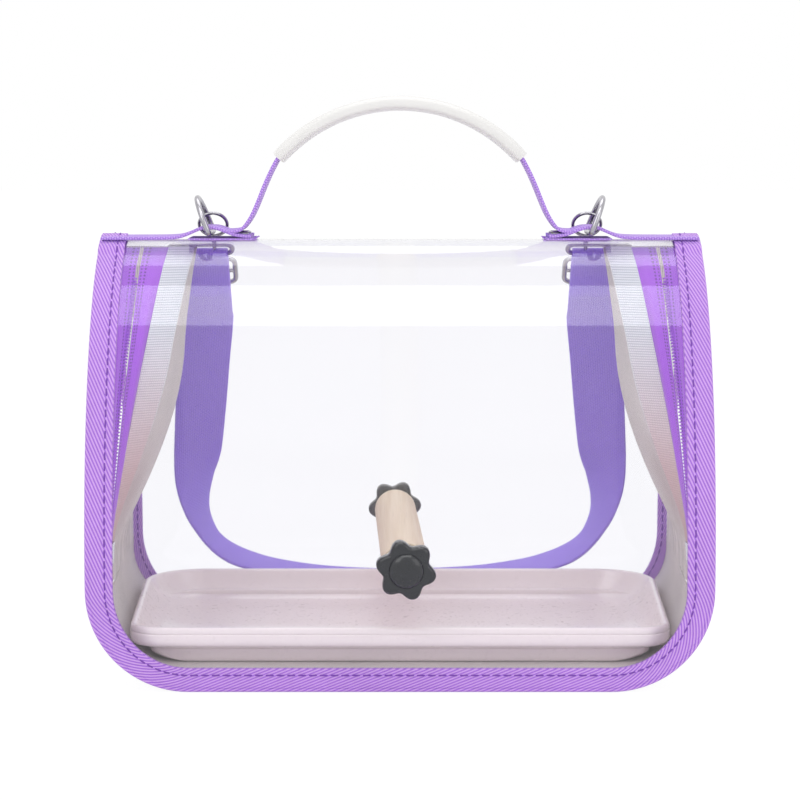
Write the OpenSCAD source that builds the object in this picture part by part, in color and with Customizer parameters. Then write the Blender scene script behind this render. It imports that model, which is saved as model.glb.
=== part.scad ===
// Clear travel carrier for a small bird: a see-through satchel with mesh sides,
// side zips, a clamped perch, a loose tray, a grip handle and a clip-on shoulder strap.
// Millimetres, +Z up, front towards -Y, origin under the middle of the bag on the ground.

/* [Bag] */
// Width of the bag over its edge bindings
bag_w = 270; // [250:1:300]
// Depth between the outside faces of the two clear panels
bag_d = 150; // [142:1:170]
// Height of the ridge
bag_h = 191; // [181:1:206]
// Height at which the clear panels start to lean together
lean_h = 40; // [34:1:48]
// Radius of the bottom corners
corner_r = 44; // [40:1:50]
// Thickness of the clear sheet
sheet_t = 0.8; // [0.5:0.1:1]
// Running room left round soft goods
soft_gap = 0.3; // [0.2:0.05:0.5]

/* [Edge binding] */
// Width of each leaf of the folded binding tape
binding_w = 12; // [10:0.5:14]
// Thickness of one leaf of the binding tape
binding_t = 0.9; // [0.6:0.1:1.2]
// Distance from the outer edge to the gusset seam
seam_in = 9; // [7:0.5:10]

/* [Side gussets] */
// Thickness of the mesh
mesh_t = 0.9; // [0.6:0.1:1.2]
// How far the side folds inwards near the ridge
fold_in = 30.7; // [24:0.1:33]
// Height at which the side starts to fold inwards
fold_start = 55; // [50:1:70]
// Width of the white tape behind the zip
edge_tape_w = 12; // [10:0.5:14]
// Thickness of the white tape
edge_tape_t = 1; // [0.8:0.1:1.2]

/* [Zips] */
// Full width of the zip over both of its tapes
zip_w = 20; // [18:0.5:22]
// Thickness of the zip tape
zip_tape_t = 0.7; // [0.5:0.1:0.8]
// Radius of the curve that the zip follows up the side
zip_r = 200; // [180:5:230]
// Inward lean of the plane of that curve, in degrees
zip_lean = 4.3; // [3:0.1:5]
// Wire radius of one row of coil
coil_r = 0.9; // [0.7:0.05:1]
// Height of the slider when the zip is shut
slider_rest_z = 58; // [54:1:70]
// Length of the zip slider
zip_slider_len = 11; // [9:0.5:13]
// Length of the pull tab
pull_len = 20; // [16:1:24]
// Width of the pull tab
pull_w = 6.5; // [5:0.5:8]

/* [Webbing] */
// Width of the handle and shoulder webbing
web_w = 25; // [24:0.5:26]
// Thickness of the webbing
web_t = 1.4; // [1:0.1:1.6]
// Distance of each rivet from the middle
rivet_x = 70.7; // [66:0.1:74]
// Radius of the rivet head
rivet_r = 3.6; // [3:0.1:4.5]
// Thickness of the rolled head
rivet_head_t = 0.9; // [0.7:0.1:1.2]
// Length of the lower webbing's raw end past the rivet
keeper_tail = 5; // [4:0.5:8]

/* [Handle] */
// Rise of the handle's middle above the ridge
handle_rise = 60.9; // [52:0.1:70]
// Half of the grip's length, measured level
grip_half = 54.5; // [50:0.5:56]
// Drop from the grip's middle to its ends
grip_sag = 24.3; // [16:0.1:28]
// Thickness of the grip
grip_t = 6.6; // [5.5:0.1:8]
// Width of the grip
grip_w = 28; // [27:0.5:32]

/* [Metal rings] */
// Distance of each D-ring from the middle
ring_x = 85.5; // [82:0.1:90]
// Wire radius of the D-ring
ring_wire_r = 1.3; // [1.2:0.05:1.35]
// Half of the D-ring's width to the middle of its wire
ring_half = 14.3; // [14.2:0.1:15]
// Straight part of the D-ring's legs
ring_leg = 2.2; // [1.5:0.1:4]
// Outward lean of the D-ring, in degrees
ring_lean = 21; // [15:1:25]
// Radius of the link that joins the D-ring to the strap
link_r = 6.4; // [6.35:0.05:6.5]
// Wire radius of the link
link_wire_r = 0.8; // [0.7:0.05:0.9]
// Radius of the link's small eye
eye_r = 2.3; // [2.25:0.05:2.4]
// Wire radius of the small eye
eye_wire_r = 0.8; // [0.7:0.05:0.8]

/* [Strap hardware] */
// Distance of the strap's top ends from the middle
strap_top_x = 92; // [90:0.5:94]
// Wire radius of the strap loop
loop_wire_r = 1.2; // [1.1:0.05:1.25]
// Height of the strap loop between its two bars
loop_h = 6.1; // [6.1:0.1:6.6]
// Length of the strap slider along the webbing
strap_slider_l = 15; // [13:0.5:17]
// Wire radius of the strap slider
strap_slider_r = 1.2; // [1:0.05:1.3]

/* [Perch] */
// Radius of the wooden perch
perch_r = 10; // [8:0.5:12]
// Height of the perch
perch_z = 54.8; // [50:0.1:70]
// Turn of the perch seen from above, in degrees
perch_turn = 1.8; // [0:0.1:2]
// Radius of the knob's round middle
knob_r = 10.1; // [9:0.1:11]
// Radius of each of the knob's lobes
lobe_r = 3.4; // [3:0.1:3.6]
// Thickness of the knob's lobed rim
knob_t = 7; // [5:0.5:9]
// Height of the knob's boss
boss_t = 3; // [2:0.5:4]
// Height of the knob's domed cap
dome_t = 3; // [2:0.5:4]
// Radius of the stud
stud_r = 2.5; // [2:0.1:3]
// Depth of the threaded insert in the end of the perch
insert_len = 15; // [12:1:20]
// Outside radius of the threaded insert
insert_r = 4; // [3.7:0.1:5]

/* [Tray] */
// Room between the tray's rim and the side mesh at each end
tray_room = 8.4; // [7.5:0.1:12]
// Mean room between the tray's rim and the two panels
tray_room_y = 5.5; // [4.5:0.1:9]
// Height of the tray
tray_h = 16.6; // [15:0.1:20]
// Radius of the tray's two front corners
tray_front_r = 14; // [12:1:24]
// Radius of the tray's two back corners
tray_back_r = 28; // [20:1:34]
// Thickness of the tray's wall
tray_t = 2; // [1.6:0.1:2.5]
// Height of the tray's rim band
tray_rim_h = 6.8; // [6:0.1:7.5]

/* [Hidden] */
$fn = 48;

purple = "#b48ae0";
deep_purple = "#8a5fd0";
white_tape = "#e6e4ea";
mesh_grey = "#cfc8cc";
clear_grey = "#eef1f6";
steel = "#c9ccd2";
cream = "#f2f1ee";
timber = "#e4d2c4";
black_grey = "#3c3f46";
tray_pink = "#eadcdf";

// Side profile of the clear sheet: upright legs, then a rounded arch.
// Each half of the arch is a superellipse with these two powers.
arch_pow_y = 1.6;
arch_pow_z = 2.1;
half_d = bag_d / 2;
rise = bag_h - lean_h;
arch_step = 6;
edge_gap = 0.05;
wall_in = sheet_t + binding_t + edge_gap;
seam_x = bag_w / 2 - seam_in;

function sgn_pow(v, e) = sign(v) * pow(abs(v), e);
function unit2(v) = v / norm(v);
function clamp01(v) = max(0, min(1, v));

// A point on the outside of the sheet. The angle runs from 0 at the back to 180 at the front.
function arch_pt(a) =
    a < 0 ? [half_d, lean_h + a] :
    a > 180 ? [-half_d, lean_h - (a - 180)] :
    [half_d * sgn_pow(cos(a), 2 / arch_pow_y), lean_h + rise * pow(sin(a), 2 / arch_pow_z)];
function arch_out(a) = let (t = unit2(arch_pt(a + 1) - arch_pt(a - 1))) [t.y, -t.x];
function arch_at(a, d) = arch_pt(a) + d * arch_out(a);

// Half depth inside the sheet and its binding at height z
function half_in(z) =
    z <= lean_h ? half_d - wall_in :
    (half_d - wall_in) * pow(max(0, 1 - pow((z - lean_h) / (rise - wall_in), arch_pow_z)), 1 / arch_pow_y);
// Half depth outside the sheet at height z
function half_out(z) =
    z <= lean_h ? half_d :
    half_d * pow(max(0, 1 - pow((z - lean_h) / rise, arch_pow_z)), 1 / arch_pow_y);

module along_x(w) {
    rotate([90, 0, 90])
        linear_extrude(w, center = true)
            children();
}

module along_y(d) {
    rotate([90, 0, 0])
        linear_extrude(d, center = true)
            children();
}

// Ring between two offsets of the arch, with its legs down to the ground
module arch_ring(outer, inner) {
    polygon(concat(
        [[half_d + outer, 0]],
        [for (a = [0 : arch_step : 180]) arch_at(a, outer)],
        [[-half_d - outer, 0], [-half_d - inner, 0]],
        [for (a = [180 : -arch_step : 0]) arch_at(a, inner)],
        [[half_d + inner, 0]]
    ));
}

// Front view of a panel, drawn in by some amount, with an open top
module panel_outline(inset, r) {
    w = bag_w / 2 - inset;
    top = bag_h + corner_r;
    translate([-w, inset + r])
        square([2 * w, top - inset - r]);
    translate([-(w - r), inset])
        square([2 * (w - r), r + 1]);
    for (s = [-1, 1])
        translate([s * (w - r), inset + r])
            circle(r, $fn = 96);
}

// Everything of a pair is drawn on the right and mirrored to the left
module on_side(s) {
    if (s < 0)
        mirror([1, 0, 0]) children();
    else
        children();
}

// The bag's shell
perch_hole_r = stud_r + 0.4;

module at_perch() {
    translate([0, 0, perch_z])
        rotate([0, 0, perch_turn])
            children();
}

module clear_sheet() {
    color(clear_grey, 0.35)
    difference() {
        intersection() {
            along_x(bag_w - 2 * binding_t) arch_ring(0, -sheet_t);
            along_y(bag_d + 20) panel_outline(binding_t, corner_r - binding_t);
        }
        at_perch()
            rotate([90, 0, 0])
                cylinder(h = bag_d + 20, r = perch_hole_r, center = true);
    }
}

ridge_split = 2;

// Folded tape round the sides and bottom of one panel. side is -1 at the front.
module binding(side) {
    color(purple)
    difference() {
        intersection() {
            along_x(bag_w) arch_ring(binding_t, -sheet_t - binding_t);
            translate([0, side * (bag_d + ridge_split) / 2, 0])
                along_y(bag_d)
                    difference() {
                        panel_outline(0, corner_r);
                        panel_outline(binding_w, corner_r - binding_w);
                    }
        }
        intersection() {
            along_x(bag_w) arch_ring(0, -sheet_t);
            along_y(bag_d + 20) panel_outline(binding_t, corner_r - binding_t);
        }
    }
}

// The back seam of each side lies this much further out than the front seam
back_out = 5.5;
back_seam_x = seam_x + back_out;
gusset_z0 = corner_r - 2;

// The curve of the zip lies in a plane that leans inwards a little.
zip_yc = -half_d + zip_w / 2 + zip_r;
zip_zc = 50;
zip_top_z = bag_h - 17;
gusset_z1 = bag_h - 4;
// The side is folded fully this far below the ridge, and drawn in a little more above that
fold_room = 41;
draw_room = 3;
draw_in = 5;
fold_rise = bag_h - fold_start - fold_room;
tape_start = fold_start + 13;
// The white tape starts to fold later than the mesh and moves less
tape_share = 0.85;
tape_late = 10;
tape_draw = 7;
// Least distance of the coil from the front seam
coil_seam = 4.5;

function drawn(z) = clamp01((z - bag_h + fold_room) / (fold_room - draw_room));
function fold_at(z) = fold_in * sin(90 * clamp01((z - fold_start) / fold_rise)) + draw_in * drawn(z);
function tape_front_in(z) = 0.73 * fold_in * clamp01((z - tape_start) / (bag_h - tape_start));
function tape_back_in(z) =
    tape_share * fold_in * pow(sin(90 * clamp01((z - fold_start) / (fold_rise + tape_late))), 1.5)
    + tape_draw * drawn(z);

// Level section of the right gusset at height z, from the front seam to the back seam
function sec_front(z) = [seam_x, zip_tape_t / 2 - half_in(z)];
function sec_coil(z) =
    let (h = (z - zip_zc) / cos(zip_lean),
         y = zip_yc - sqrt(zip_r * zip_r - h * h))
    [seam_x - tan(zip_lean) * (z - slider_rest_z), max(y, coil_seam - half_in(z))];
function sec_tape_front(z) =
    let (w = tape_front_in(z))
    [seam_x - w,
     max(sec_coil(z).y + 0.5, -half_in(z) + sqrt(max(0, zip_w * zip_w - w * w)))];
function sec_tape_back(z) =
    let (w0 = tape_front_in(z), w1 = max(w0, tape_back_in(z)))
    [seam_x - w1,
     sec_tape_front(z).y + sqrt(max(1, edge_tape_w * edge_tape_w - (w1 - w0) * (w1 - w0)))];
function sec_fold(z) =
    [(seam_x + back_seam_x) / 2 - fold_at(z), max(0, sec_tape_back(z).y + 1)];
function sec_rear(z) =
    [back_seam_x - back_out / 4 - 0.72 * fold_at(z), max(sec_fold(z).y + 0.5, 0.55 * half_in(z))];
function sec_rear_low(z) =
    [back_seam_x - back_out / 16 - 0.3 * fold_at(z), max(sec_rear(z).y + 0.5, 0.88 * half_in(z))];
function sec_back(z) =
    [back_seam_x, min(half_in(z) - 0.1, max(sec_rear_low(z).y + 0.1, half_in(z) - mesh_t / 2))];

// Level distance from the zip's middle to the edge of each tape, wider where the zip leans
function coil_edge(z) = (2 * coil_r + 1.3) / cos(asin((z - zip_zc) / zip_r));
function toward(p, q, d) = p + d * unit2(q - p);
function section(z) =
    let (f = sec_front(z), c = sec_coil(z), w = sec_tape_front(z))
    [f, toward(c, f, coil_edge(z)), toward(c, w, coil_edge(z)), w, sec_tape_back(z),
     sec_fold(z), sec_rear(z), sec_rear_low(z), sec_back(z)];

gusset_rows = 18;
row_z = [for (k = [0 : gusset_rows]) gusset_z0 + (gusset_z1 - gusset_z0) * k / gusset_rows];

function col_normal(s, j) =
    let (a = s[max(0, j - 1)], b = s[min(len(s) - 1, j + 1)], t = unit2(b - a))
    [t.y, -t.x];

// Closed sheet between two grids of points with the same rows and columns
module grid_sheet(a, b) {
    rows = len(a);
    cols = len(a[0]);
    n = rows * cols;
    pts = concat([for (r = a) each r], [for (r = b) each r]);
    faces = concat(
        [for (i = [0 : rows - 2], j = [0 : cols - 2])
            each [[i * cols + j, i * cols + j + 1, (i + 1) * cols + j + 1],
                  [i * cols + j, (i + 1) * cols + j + 1, (i + 1) * cols + j]]],
        [for (i = [0 : rows - 2], j = [0 : cols - 2])
            each [[n + i * cols + j, n + (i + 1) * cols + j + 1, n + i * cols + j + 1],
                  [n + i * cols + j, n + (i + 1) * cols + j, n + (i + 1) * cols + j + 1]]],
        [for (i = [0 : rows - 2])
            each [[i * cols, (i + 1) * cols, n + (i + 1) * cols],
                  [i * cols, n + (i + 1) * cols, n + i * cols],
                  [i * cols + cols - 1, n + (i + 1) * cols + cols - 1, (i + 1) * cols + cols - 1],
                  [i * cols + cols - 1, n + i * cols + cols - 1, n + (i + 1) * cols + cols - 1]]],
        [for (j = [0 : cols - 2])
            each [[j, n + j, n + j + 1],
                  [j, n + j + 1, j + 1],
                  [(rows - 1) * cols + j, n + (rows - 1) * cols + j + 1, n + (rows - 1) * cols + j],
                  [(rows - 1) * cols + j, (rows - 1) * cols + j + 1, n + (rows - 1) * cols + j + 1]]]
    );
    polyhedron(pts, faces);
}

// Columns j0 to j1 of the gusset's section, carried up its rows, at thickness t
module gusset_strip(j0, j1, t) {
    out = [for (z = row_z) let (s = section(z))
        [for (j = [j0 : j1]) let (p = s[j] + t / 2 * col_normal(s, j)) [p.x, p.y, z]]];
    inn = [for (z = row_z) let (s = section(z))
        [for (j = [j0 : j1]) let (p = s[j] - t / 2 * col_normal(s, j)) [p.x, p.y, z]]];
    grid_sheet(inn, out);
}

module side_mesh(s) {
    color(mesh_grey) on_side(s) gusset_strip(4, 8, mesh_t);
}

// Floor of mesh that turns up at both bottom corners, row by row from the front to the back
floor_r = corner_r - seam_in - 8;
floor_arc = 10;

// Front view of one row, from the top of its right side round to the top of its left side
function floor_row(x, y, r) =
    let (cx = x - floor_r, cz = seam_in + floor_r,
         turn = [for (k = [0 : floor_arc]) 90 * k / floor_arc])
    concat(
        [[cx + r, y, gusset_z0]],
        [for (a = turn) [cx + r * cos(a), y, cz - r * sin(a)]],
        [for (a = reversed(turn)) [-cx - r * cos(a), y, cz - r * sin(a)]],
        [[-cx - r, y, gusset_z0]]);

module floor_mesh() {
    s = section(gusset_z0);
    last = len(s) - 1;
    deep = half_in(gusset_z0);
    rows = [for (j = [0 : last]) if (j != 1 && j != 2)
        [s[j].x + mesh_t / 2, j == 0 ? -deep : j == last ? deep : s[j].y]];
    color(mesh_grey) grid_sheet(
        [for (p = rows) floor_row(p.x, p.y, floor_r)],
        [for (p = rows) floor_row(p.x, p.y, floor_r - mesh_t)]);
}

module edge_tape(s) {
    color(white_tape) on_side(s) gusset_strip(3, 4, edge_tape_t);
}

module zip_tape(s) {
    color(purple) on_side(s) {
        gusset_strip(0, 1, zip_tape_t);
        gusset_strip(2, 3, zip_tape_t);
    }
}

// Frame of the zip's curve: X out along its radius, Y up along it, Z towards the cabin
module on_zip_curve() {
    translate([seam_x, 0, slider_rest_z])
        rotate([0, -zip_lean, 0])
            translate([0, zip_yc, zip_zc - slider_rest_z])
                rotate([90, 0, -90])
                    children();
}

coil_a0 = asin((gusset_z0 + 4 - zip_zc) / zip_r);
coil_a1 = asin((zip_top_z - zip_zc) / zip_r);
rest_a = asin((slider_rest_z - zip_zc) / zip_r);
row_off = coil_r + 0.8;

module zip_coil(s) {
    color(deep_purple) on_side(s) on_zip_curve()
        for (k = [-1, 1])
            rotate([0, 0, coil_a0])
                rotate_extrude(angle = coil_a1 - coil_a0, $fn = 360)
                    translate([zip_r + k * row_off, 0])
                        circle(coil_r, $fn = 16);
}

plate_t = 1;
plate_gap = coil_r + soft_gap;
slider_w = 9.2;
flange_t = 0.7;
pivot_h = plate_gap + plate_t + 1.4;
pivot_r = 0.7;
pivot_y = 1.5;
lug_t = 1;
lug_gap = 3.4;

module at_slider() {
    on_zip_curve() rotate([0, 0, rest_a]) translate([zip_r, 0, 0]) children();
}

// Two plates joined by a divider between the coil rows, with lugs and a pin for the tab
module zip_slider(s) {
    post_w = 2 * (row_off - coil_r - soft_gap);
    color(steel) on_side(s) at_slider() {
        for (k = [-1, 1])
            translate([0, 0, k * (plate_gap + plate_t / 2)])
                cube([slider_w, zip_slider_len, plate_t], center = true);
        for (k = [-1, 1], e = [-1, 1])
            translate([e * (slider_w - flange_t) / 2, 0, k * (plate_gap - 0.3)])
                cube([flange_t, zip_slider_len, 0.6], center = true);
        cube([post_w, zip_slider_len / 2, 2 * plate_gap + 1], center = true);
        for (e = [-1, 1])
            translate([e * (lug_gap + lug_t) / 2, pivot_y, -(plate_gap + plate_t + pivot_h + 1) / 2])
                cube([lug_t, 3, pivot_h + 1 - plate_gap - plate_t + 0.2], center = true);
        translate([0, pivot_y, -pivot_h])
            rotate([0, 90, 0])
                cylinder(h = lug_gap + 2 * lug_t, r = pivot_r, center = true, $fn = 24);
    }
}

pull_t = 1.2;
pull_eye_w = lug_gap - 0.6;

module zip_pull(s) {
    color(steel) on_side(s) at_slider()
        translate([0, pivot_y, -pivot_h])
            difference() {
                union() {
                    rotate([0, 90, 0])
                        cylinder(h = pull_eye_w, r = pivot_r + 0.65, center = true, $fn = 32);
                    translate([0, -4, 0])
                        cube([pull_eye_w, 7, pull_t], center = true);
                    translate([0, -7 - (pull_len - 7) / 2 + pull_w / 4, 0])
                        cube([pull_w, pull_len - 7 - pull_w / 2, pull_t], center = true);
                    translate([0, -pull_len + pull_w / 2, 0])
                        cylinder(h = pull_t, r = pull_w / 2, center = true);
                }
                rotate([0, 90, 0])
                    cylinder(h = pull_eye_w + 1, r = pivot_r + 0.06, center = true, $fn = 32);
                translate([0, -pull_len + pull_w / 2, 0])
                    cylinder(h = pull_t + 1, r = pull_w / 4, center = true, $fn = 32);
            }
}

// Webbing on the ridge. The keeper lies under the D-ring's bar and the long webbing over it.
keeper_z = bag_h + 0.1;
bar_z = keeper_z + web_t + soft_gap + ring_wire_r;
long_z = keeper_z + web_t;
hump_z = bar_z + ring_wire_r + soft_gap;
web_start = bag_w / 2 - binding_w - 1;
hump_half = 3;
// Where the long webbing comes back down, just clear of the rivet's head
ramp_foot = rivet_x + rivet_r + soft_gap;
// Where it starts to rise on the outer side, and how far the keeper reaches under it
ramp_out = ring_x + 14;
keeper_end = ramp_out - 4.5;

// Band of even thickness along a path of [x, z] points, which lie on its underside
module web_band(path, t, w) {
    n = len(path);
    nrm = [for (i = [0 : n - 1])
        let (d = unit2(path[min(n - 1, i + 1)] - path[max(0, i - 1)])) [-d.y, d.x]];
    rotate([90, 0, 0])
        linear_extrude(w, center = true)
            polygon(concat(path, [for (i = [n - 1 : -1 : 0]) path[i] + t * nrm[i]]));
}

rivet_bore = rivet_r * 0.45;

module rivet_hole() {
    translate([rivet_x, 0, bag_h - 5])
        cylinder(h = 20, r = rivet_bore + 0.6);
}

module ridge_webbing(s) {
    color(purple) on_side(s)
        difference() {
            mirror([1, 0, 0])
                web_band([
                    [-web_start, keeper_z], [-ramp_out, keeper_z],
                    [-ring_x - hump_half, hump_z], [-ring_x + hump_half, hump_z],
                    [-ramp_foot, long_z], [-rivet_x + 4, long_z]
                ], web_t, web_w);
            rivet_hole();
        }
}

module ring_keeper(s) {
    color(purple) on_side(s)
        difference() {
            translate([rivet_x - keeper_tail, -web_w / 2, keeper_z])
                cube([keeper_end - rivet_x + keeper_tail, web_w, web_t]);
            rivet_hole();
        }
}

module rivet(s) {
    top = long_z + web_t;
    color(steel) on_side(s) translate([rivet_x, 0, 0])
        difference() {
            union() {
                translate([0, 0, keeper_z])
                    cylinder(h = top - keeper_z + rivet_head_t, r = rivet_bore + 0.6);
                translate([0, 0, top])
                    cylinder(h = rivet_head_t, r = rivet_r);
            }
            translate([0, 0, bag_h - 5])
                cylinder(h = 20, r = rivet_bore);
        }
}

// Handle: a circular arc under the grip and a bowed leg down to each rivet
handle_foot_z = long_z + web_t + rivet_head_t + 0.8;
handle_top_z = bag_h + handle_rise;
grip_end_z = handle_top_z - grip_sag;
grip_curve_r = (grip_half * grip_half + grip_sag * grip_sag) / (2 * grip_sag);
arc_half = asin(grip_half / grip_curve_r);
arc_parts = 9;
leg_parts = 8;
leg_foot = [-rivet_x - 0.5, handle_foot_z];
leg_head = [-grip_half, grip_end_z];
leg_span = leg_head - leg_foot;
// Where the leg's two control points lie, as shares of its run and of its rise
leg_low = [0.42, 0.19];
leg_high = [0.48, 0.55];

function share(f) = [leg_foot.x + f.x * leg_span.x, leg_foot.y + f.y * leg_span.y];
function bezier(a, b, c, d, t) =
    pow(1 - t, 3) * a + 3 * t * pow(1 - t, 2) * b + 3 * t * t * (1 - t) * c + pow(t, 3) * d;
leg_path = [for (k = [0 : leg_parts - 1])
    bezier(leg_foot, share(leg_low), share(leg_high), leg_head, k / leg_parts)];
arc_path = [for (k = [-arc_parts : arc_parts])
    let (a = arc_half * k / arc_parts)
    [grip_curve_r * sin(a), handle_top_z - grip_curve_r * (1 - cos(a))]];
handle_full = concat(leg_path, arc_path,
    [for (i = [len(leg_path) - 1 : -1 : 0]) [-leg_path[i].x, leg_path[i].y]]);

function path_normals(path) =
    let (n = len(path))
    [for (i = [0 : n - 1])
        let (d = unit2(path[min(n - 1, i + 1)] - path[max(0, i - 1)])) [-d.y, d.x]];
function path_off(path, d) =
    let (n = path_normals(path))
    [for (i = [0 : len(path) - 1]) path[i] + d * n[i]];
function reversed(v) = [for (i = [len(v) - 1 : -1 : 0]) v[i]];

module band(path, t, w) {
    rotate([90, 0, 0])
        linear_extrude(w, center = true)
            polygon(concat(path_off(path, -t / 2), reversed(path_off(path, t / 2))));
}

module handle_webbing() {
    color(purple) band(handle_full, web_t, web_w);
}

grip_room = 0.2;

module grip_sleeve() {
    color(cream)
    difference() {
        band(arc_path, grip_t, grip_w);
        band(handle_full, web_t + 2 * grip_room, web_w + 2 * grip_room);
    }
}

// D-ring that stands on its bar and leans outwards
module d_ring(s) {
    color(steel) on_side(s)
        translate([ring_x, 0, bar_z])
            rotate([0, ring_lean, 0]) {
                rotate([90, 0, 0])
                    cylinder(h = 2 * ring_half, r = ring_wire_r, center = true, $fn = 32);
                for (k = [-1, 1]) {
                    translate([0, k * ring_half, 0])
                        cylinder(h = ring_leg, r = ring_wire_r, $fn = 32);
                    translate([0, k * ring_half, 0])
                        sphere(ring_wire_r, $fn = 32);
                }
                translate([0, 0, ring_leg])
                    rotate([90, 0, 90])
                        rotate_extrude(angle = 180)
                            translate([ring_half, 0])
                                circle(ring_wire_r, $fn = 24);
            }
}

// Link round the D-ring's back leg, with a small eye for the strap loop below it
link_tilt = 35;
link_pos = [ring_x, ring_half - 1.5, bar_z + 3];
link_dir = [0, sin(link_tilt), -cos(link_tilt)];
eye_pos = [link_pos.x, ring_half + 5.2, bar_z - 5.6];
neck_top = link_pos + link_r * link_dir;
neck_vec = eye_pos - neck_top;
neck_r = 1.1;

module link(s) {
    neck_tilt = atan2(neck_vec.y, -neck_vec.z);
    color(steel) on_side(s) {
        translate(link_pos)
            rotate([link_tilt - 90 + 180, 0, 0])
                rotate_extrude()
                    translate([link_r, 0])
                        circle(link_wire_r, $fn = 20);
        translate(neck_top)
            rotate([180 + neck_tilt, 0, 0])
                cylinder(h = norm(neck_vec) - eye_r + 0.4, r = neck_r, $fn = 24);
        translate(eye_pos)
            rotate([0, 90, 0])
                rotate_extrude()
                    translate([eye_r, 0])
                        circle(eye_wire_r, $fn = 20);
    }
}

// The strap leaves its loop along a straight run that passes this far off the back panel.
run_room = 1.75;
run_mid_z = bag_h - 21.75;
run_dir = unit3([0, half_out(run_mid_z) + run_room - eye_pos.y, run_mid_z - eye_pos.z]);
run_out = [0, -run_dir.z, run_dir.y];
loop_bar = eye_pos + loop_h * run_dir;

function unit3(v) = v / norm(v);

// Flat wire frame in the XY plane, w by h between wire middles, with round corners
module wire_frame(w, h, r, wire) {
    for (k = [-1, 1]) {
        translate([0, k * h / 2, 0])
            rotate([0, 90, 0])
                cylinder(h = w - 2 * r, r = wire, center = true, $fn = 24);
        if (h > 2 * r)
            translate([k * w / 2, 0, 0])
                rotate([90, 0, 0])
                    cylinder(h = h - 2 * r, r = wire, center = true, $fn = 24);
    }
    for (q = [0 : 3])
        rotate([0, 0, q * 90])
            translate([(q % 2 == 0 ? w : h) / 2 - r, (q % 2 == 0 ? h : w) / 2 - r, 0])
                rotate_extrude(angle = 90)
                    translate([r, 0])
                        circle(wire, $fn = 24);
}

run_tilt = atan2(run_dir.y, -run_dir.z);

module strap_loop(s) {
    color(steel) on_side(s)
        translate([strap_top_x, 0, 0])
            translate([0, eye_pos.y, eye_pos.z])
                rotate([-90 + run_tilt + 180, 0, 0])
                    translate([0, -loop_h / 2, 0])
                        wire_frame(web_w + 4, loop_h, loop_h / 2 - 0.05, loop_wire_r);
}

// Slider on the strap's straight run: a wire frame with a middle bar, on the outer face
slider_off = web_t / 2 + soft_gap + strap_slider_r;
slider_from = 5.5;

module strap_slider(s) {
    mid = [strap_top_x, loop_bar.y, loop_bar.z]
        + (slider_from + strap_slider_l / 2) * run_dir + slider_off * run_out;
    color(steel) on_side(s)
        translate(mid)
            rotate([-90 + run_tilt + 180, 0, 0]) {
                wire_frame(web_w + 5, strap_slider_l, 3, strap_slider_r);
                rotate([0, 90, 0])
                    cylinder(h = web_w + 5, r = strap_slider_r * 0.9, center = true, $fn = 24);
            }
}

// Shoulder strap: its middle line from the left loop down to the middle of the bag's back.
// Each row is a point and the direction across the webbing.
strap_back = half_d + 15;
strap_low = 19;
run_len = 44;
// The slider travels over this much of the run, which is dead straight
slide_len = run_len - 7;
loop_rise = 27.5;

function on_run(d) = [-strap_top_x, loop_bar.y, loop_bar.z] + d * run_dir;
// A point past the outer end of the run, a share of the way down to the strap's low loop
function off_back(out, down, gap) =
    let (top = on_run(run_len).z, z = top + down * (strap_low + loop_rise - top))
    [-strap_top_x - out, half_out(z) + gap, z];
// A point of the low loop, as shares of the strap's half width and of the loop's rise
function on_low(out, up) = [-out * strap_top_x, strap_back, strap_low + up * loop_rise];
strap_rows = [
    [on_run(2.2), [1, 0, 0]],
    [on_run(slide_len / 2 + 1), [1, 0, 0]],
    [on_run(slide_len), [1, 0, 0]],
    [on_run(run_len), [1, 0.03, 0]],
    [off_back(2.5, 0.19, 2.5), [1, 0.08, 0]],
    [off_back(5, 0.41, 5), [1, 0.25, 0]],
    [off_back(7.5, 0.64, 8.5), [1, 0.5, 0]],
    [off_back(9.5, 0.78, 11), [0.75, 0.8, 0]],
    [off_back(9.2, 0.9, 12.8), [0.5, 1, 0.02]],
    [on_low(1.072, 1) - [0, 1, 0], [0.25, 1, 0.12]],
    [on_low(1.011, 0.65) - [0, 0.5, 0], [0.08, 1, 0.16]],
    [on_low(0.918, 0.4), [0, 1, 0.2]],
    [on_low(0.783, 0.23), [0, 1, 0.14]],
    [on_low(0.63, 0.13), [0, 1, 0.08]],
    [on_low(0.38, 0.04), [0, 1, 0.03]],
    [[0, strap_back, strap_low], [0, 1, 0]]
];
strap_all = concat(strap_rows,
    [for (i = [len(strap_rows) - 2 : -1 : 0])
        let (p = strap_rows[i][0], w = strap_rows[i][1])
        [[-p.x, p.y, p.z], [-w.x, w.y, w.z]]]);

// Smooth point between rows i and i + 1 of a list, at t from 0 to 1
function smooth(v, i, t) =
    let (n = len(v), a = v[max(0, i - 1)], b = v[i], c = v[min(n - 1, i + 1)], d = v[min(n - 1, i + 2)])
    0.5 * ((2 * b) + (c - a) * t + (2 * a - 5 * b + 4 * c - d) * t * t
        + (3 * b - a - 3 * c + d) * t * t * t);
strap_steps = 3;
strap_mid = [for (r = strap_all) r[0]];
strap_across = [for (r = strap_all) unit3(r[1])];
strap_line = concat(
    [for (i = [0 : len(strap_mid) - 2], k = [0 : strap_steps - 1]) smooth(strap_mid, i, k / strap_steps)],
    [strap_mid[len(strap_mid) - 1]]);
strap_wide = concat(
    [for (i = [0 : len(strap_mid) - 2], k = [0 : strap_steps - 1])
        let (a = strap_across[i], b = strap_across[i + 1], f = sign(a * b))
        unit3(a * (1 - k / strap_steps) + f * b * k / strap_steps)],
    [strap_across[len(strap_across) - 1]]);

function flip_rows(w, i = 1, acc = []) =
    let (now = len(acc) == 0 ? [w[0]] : acc)
    i >= len(w) ? now :
    flip_rows(w, i + 1, concat(now, [w[i] * now[i - 1] < 0 ? -w[i] : w[i]]));

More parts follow.
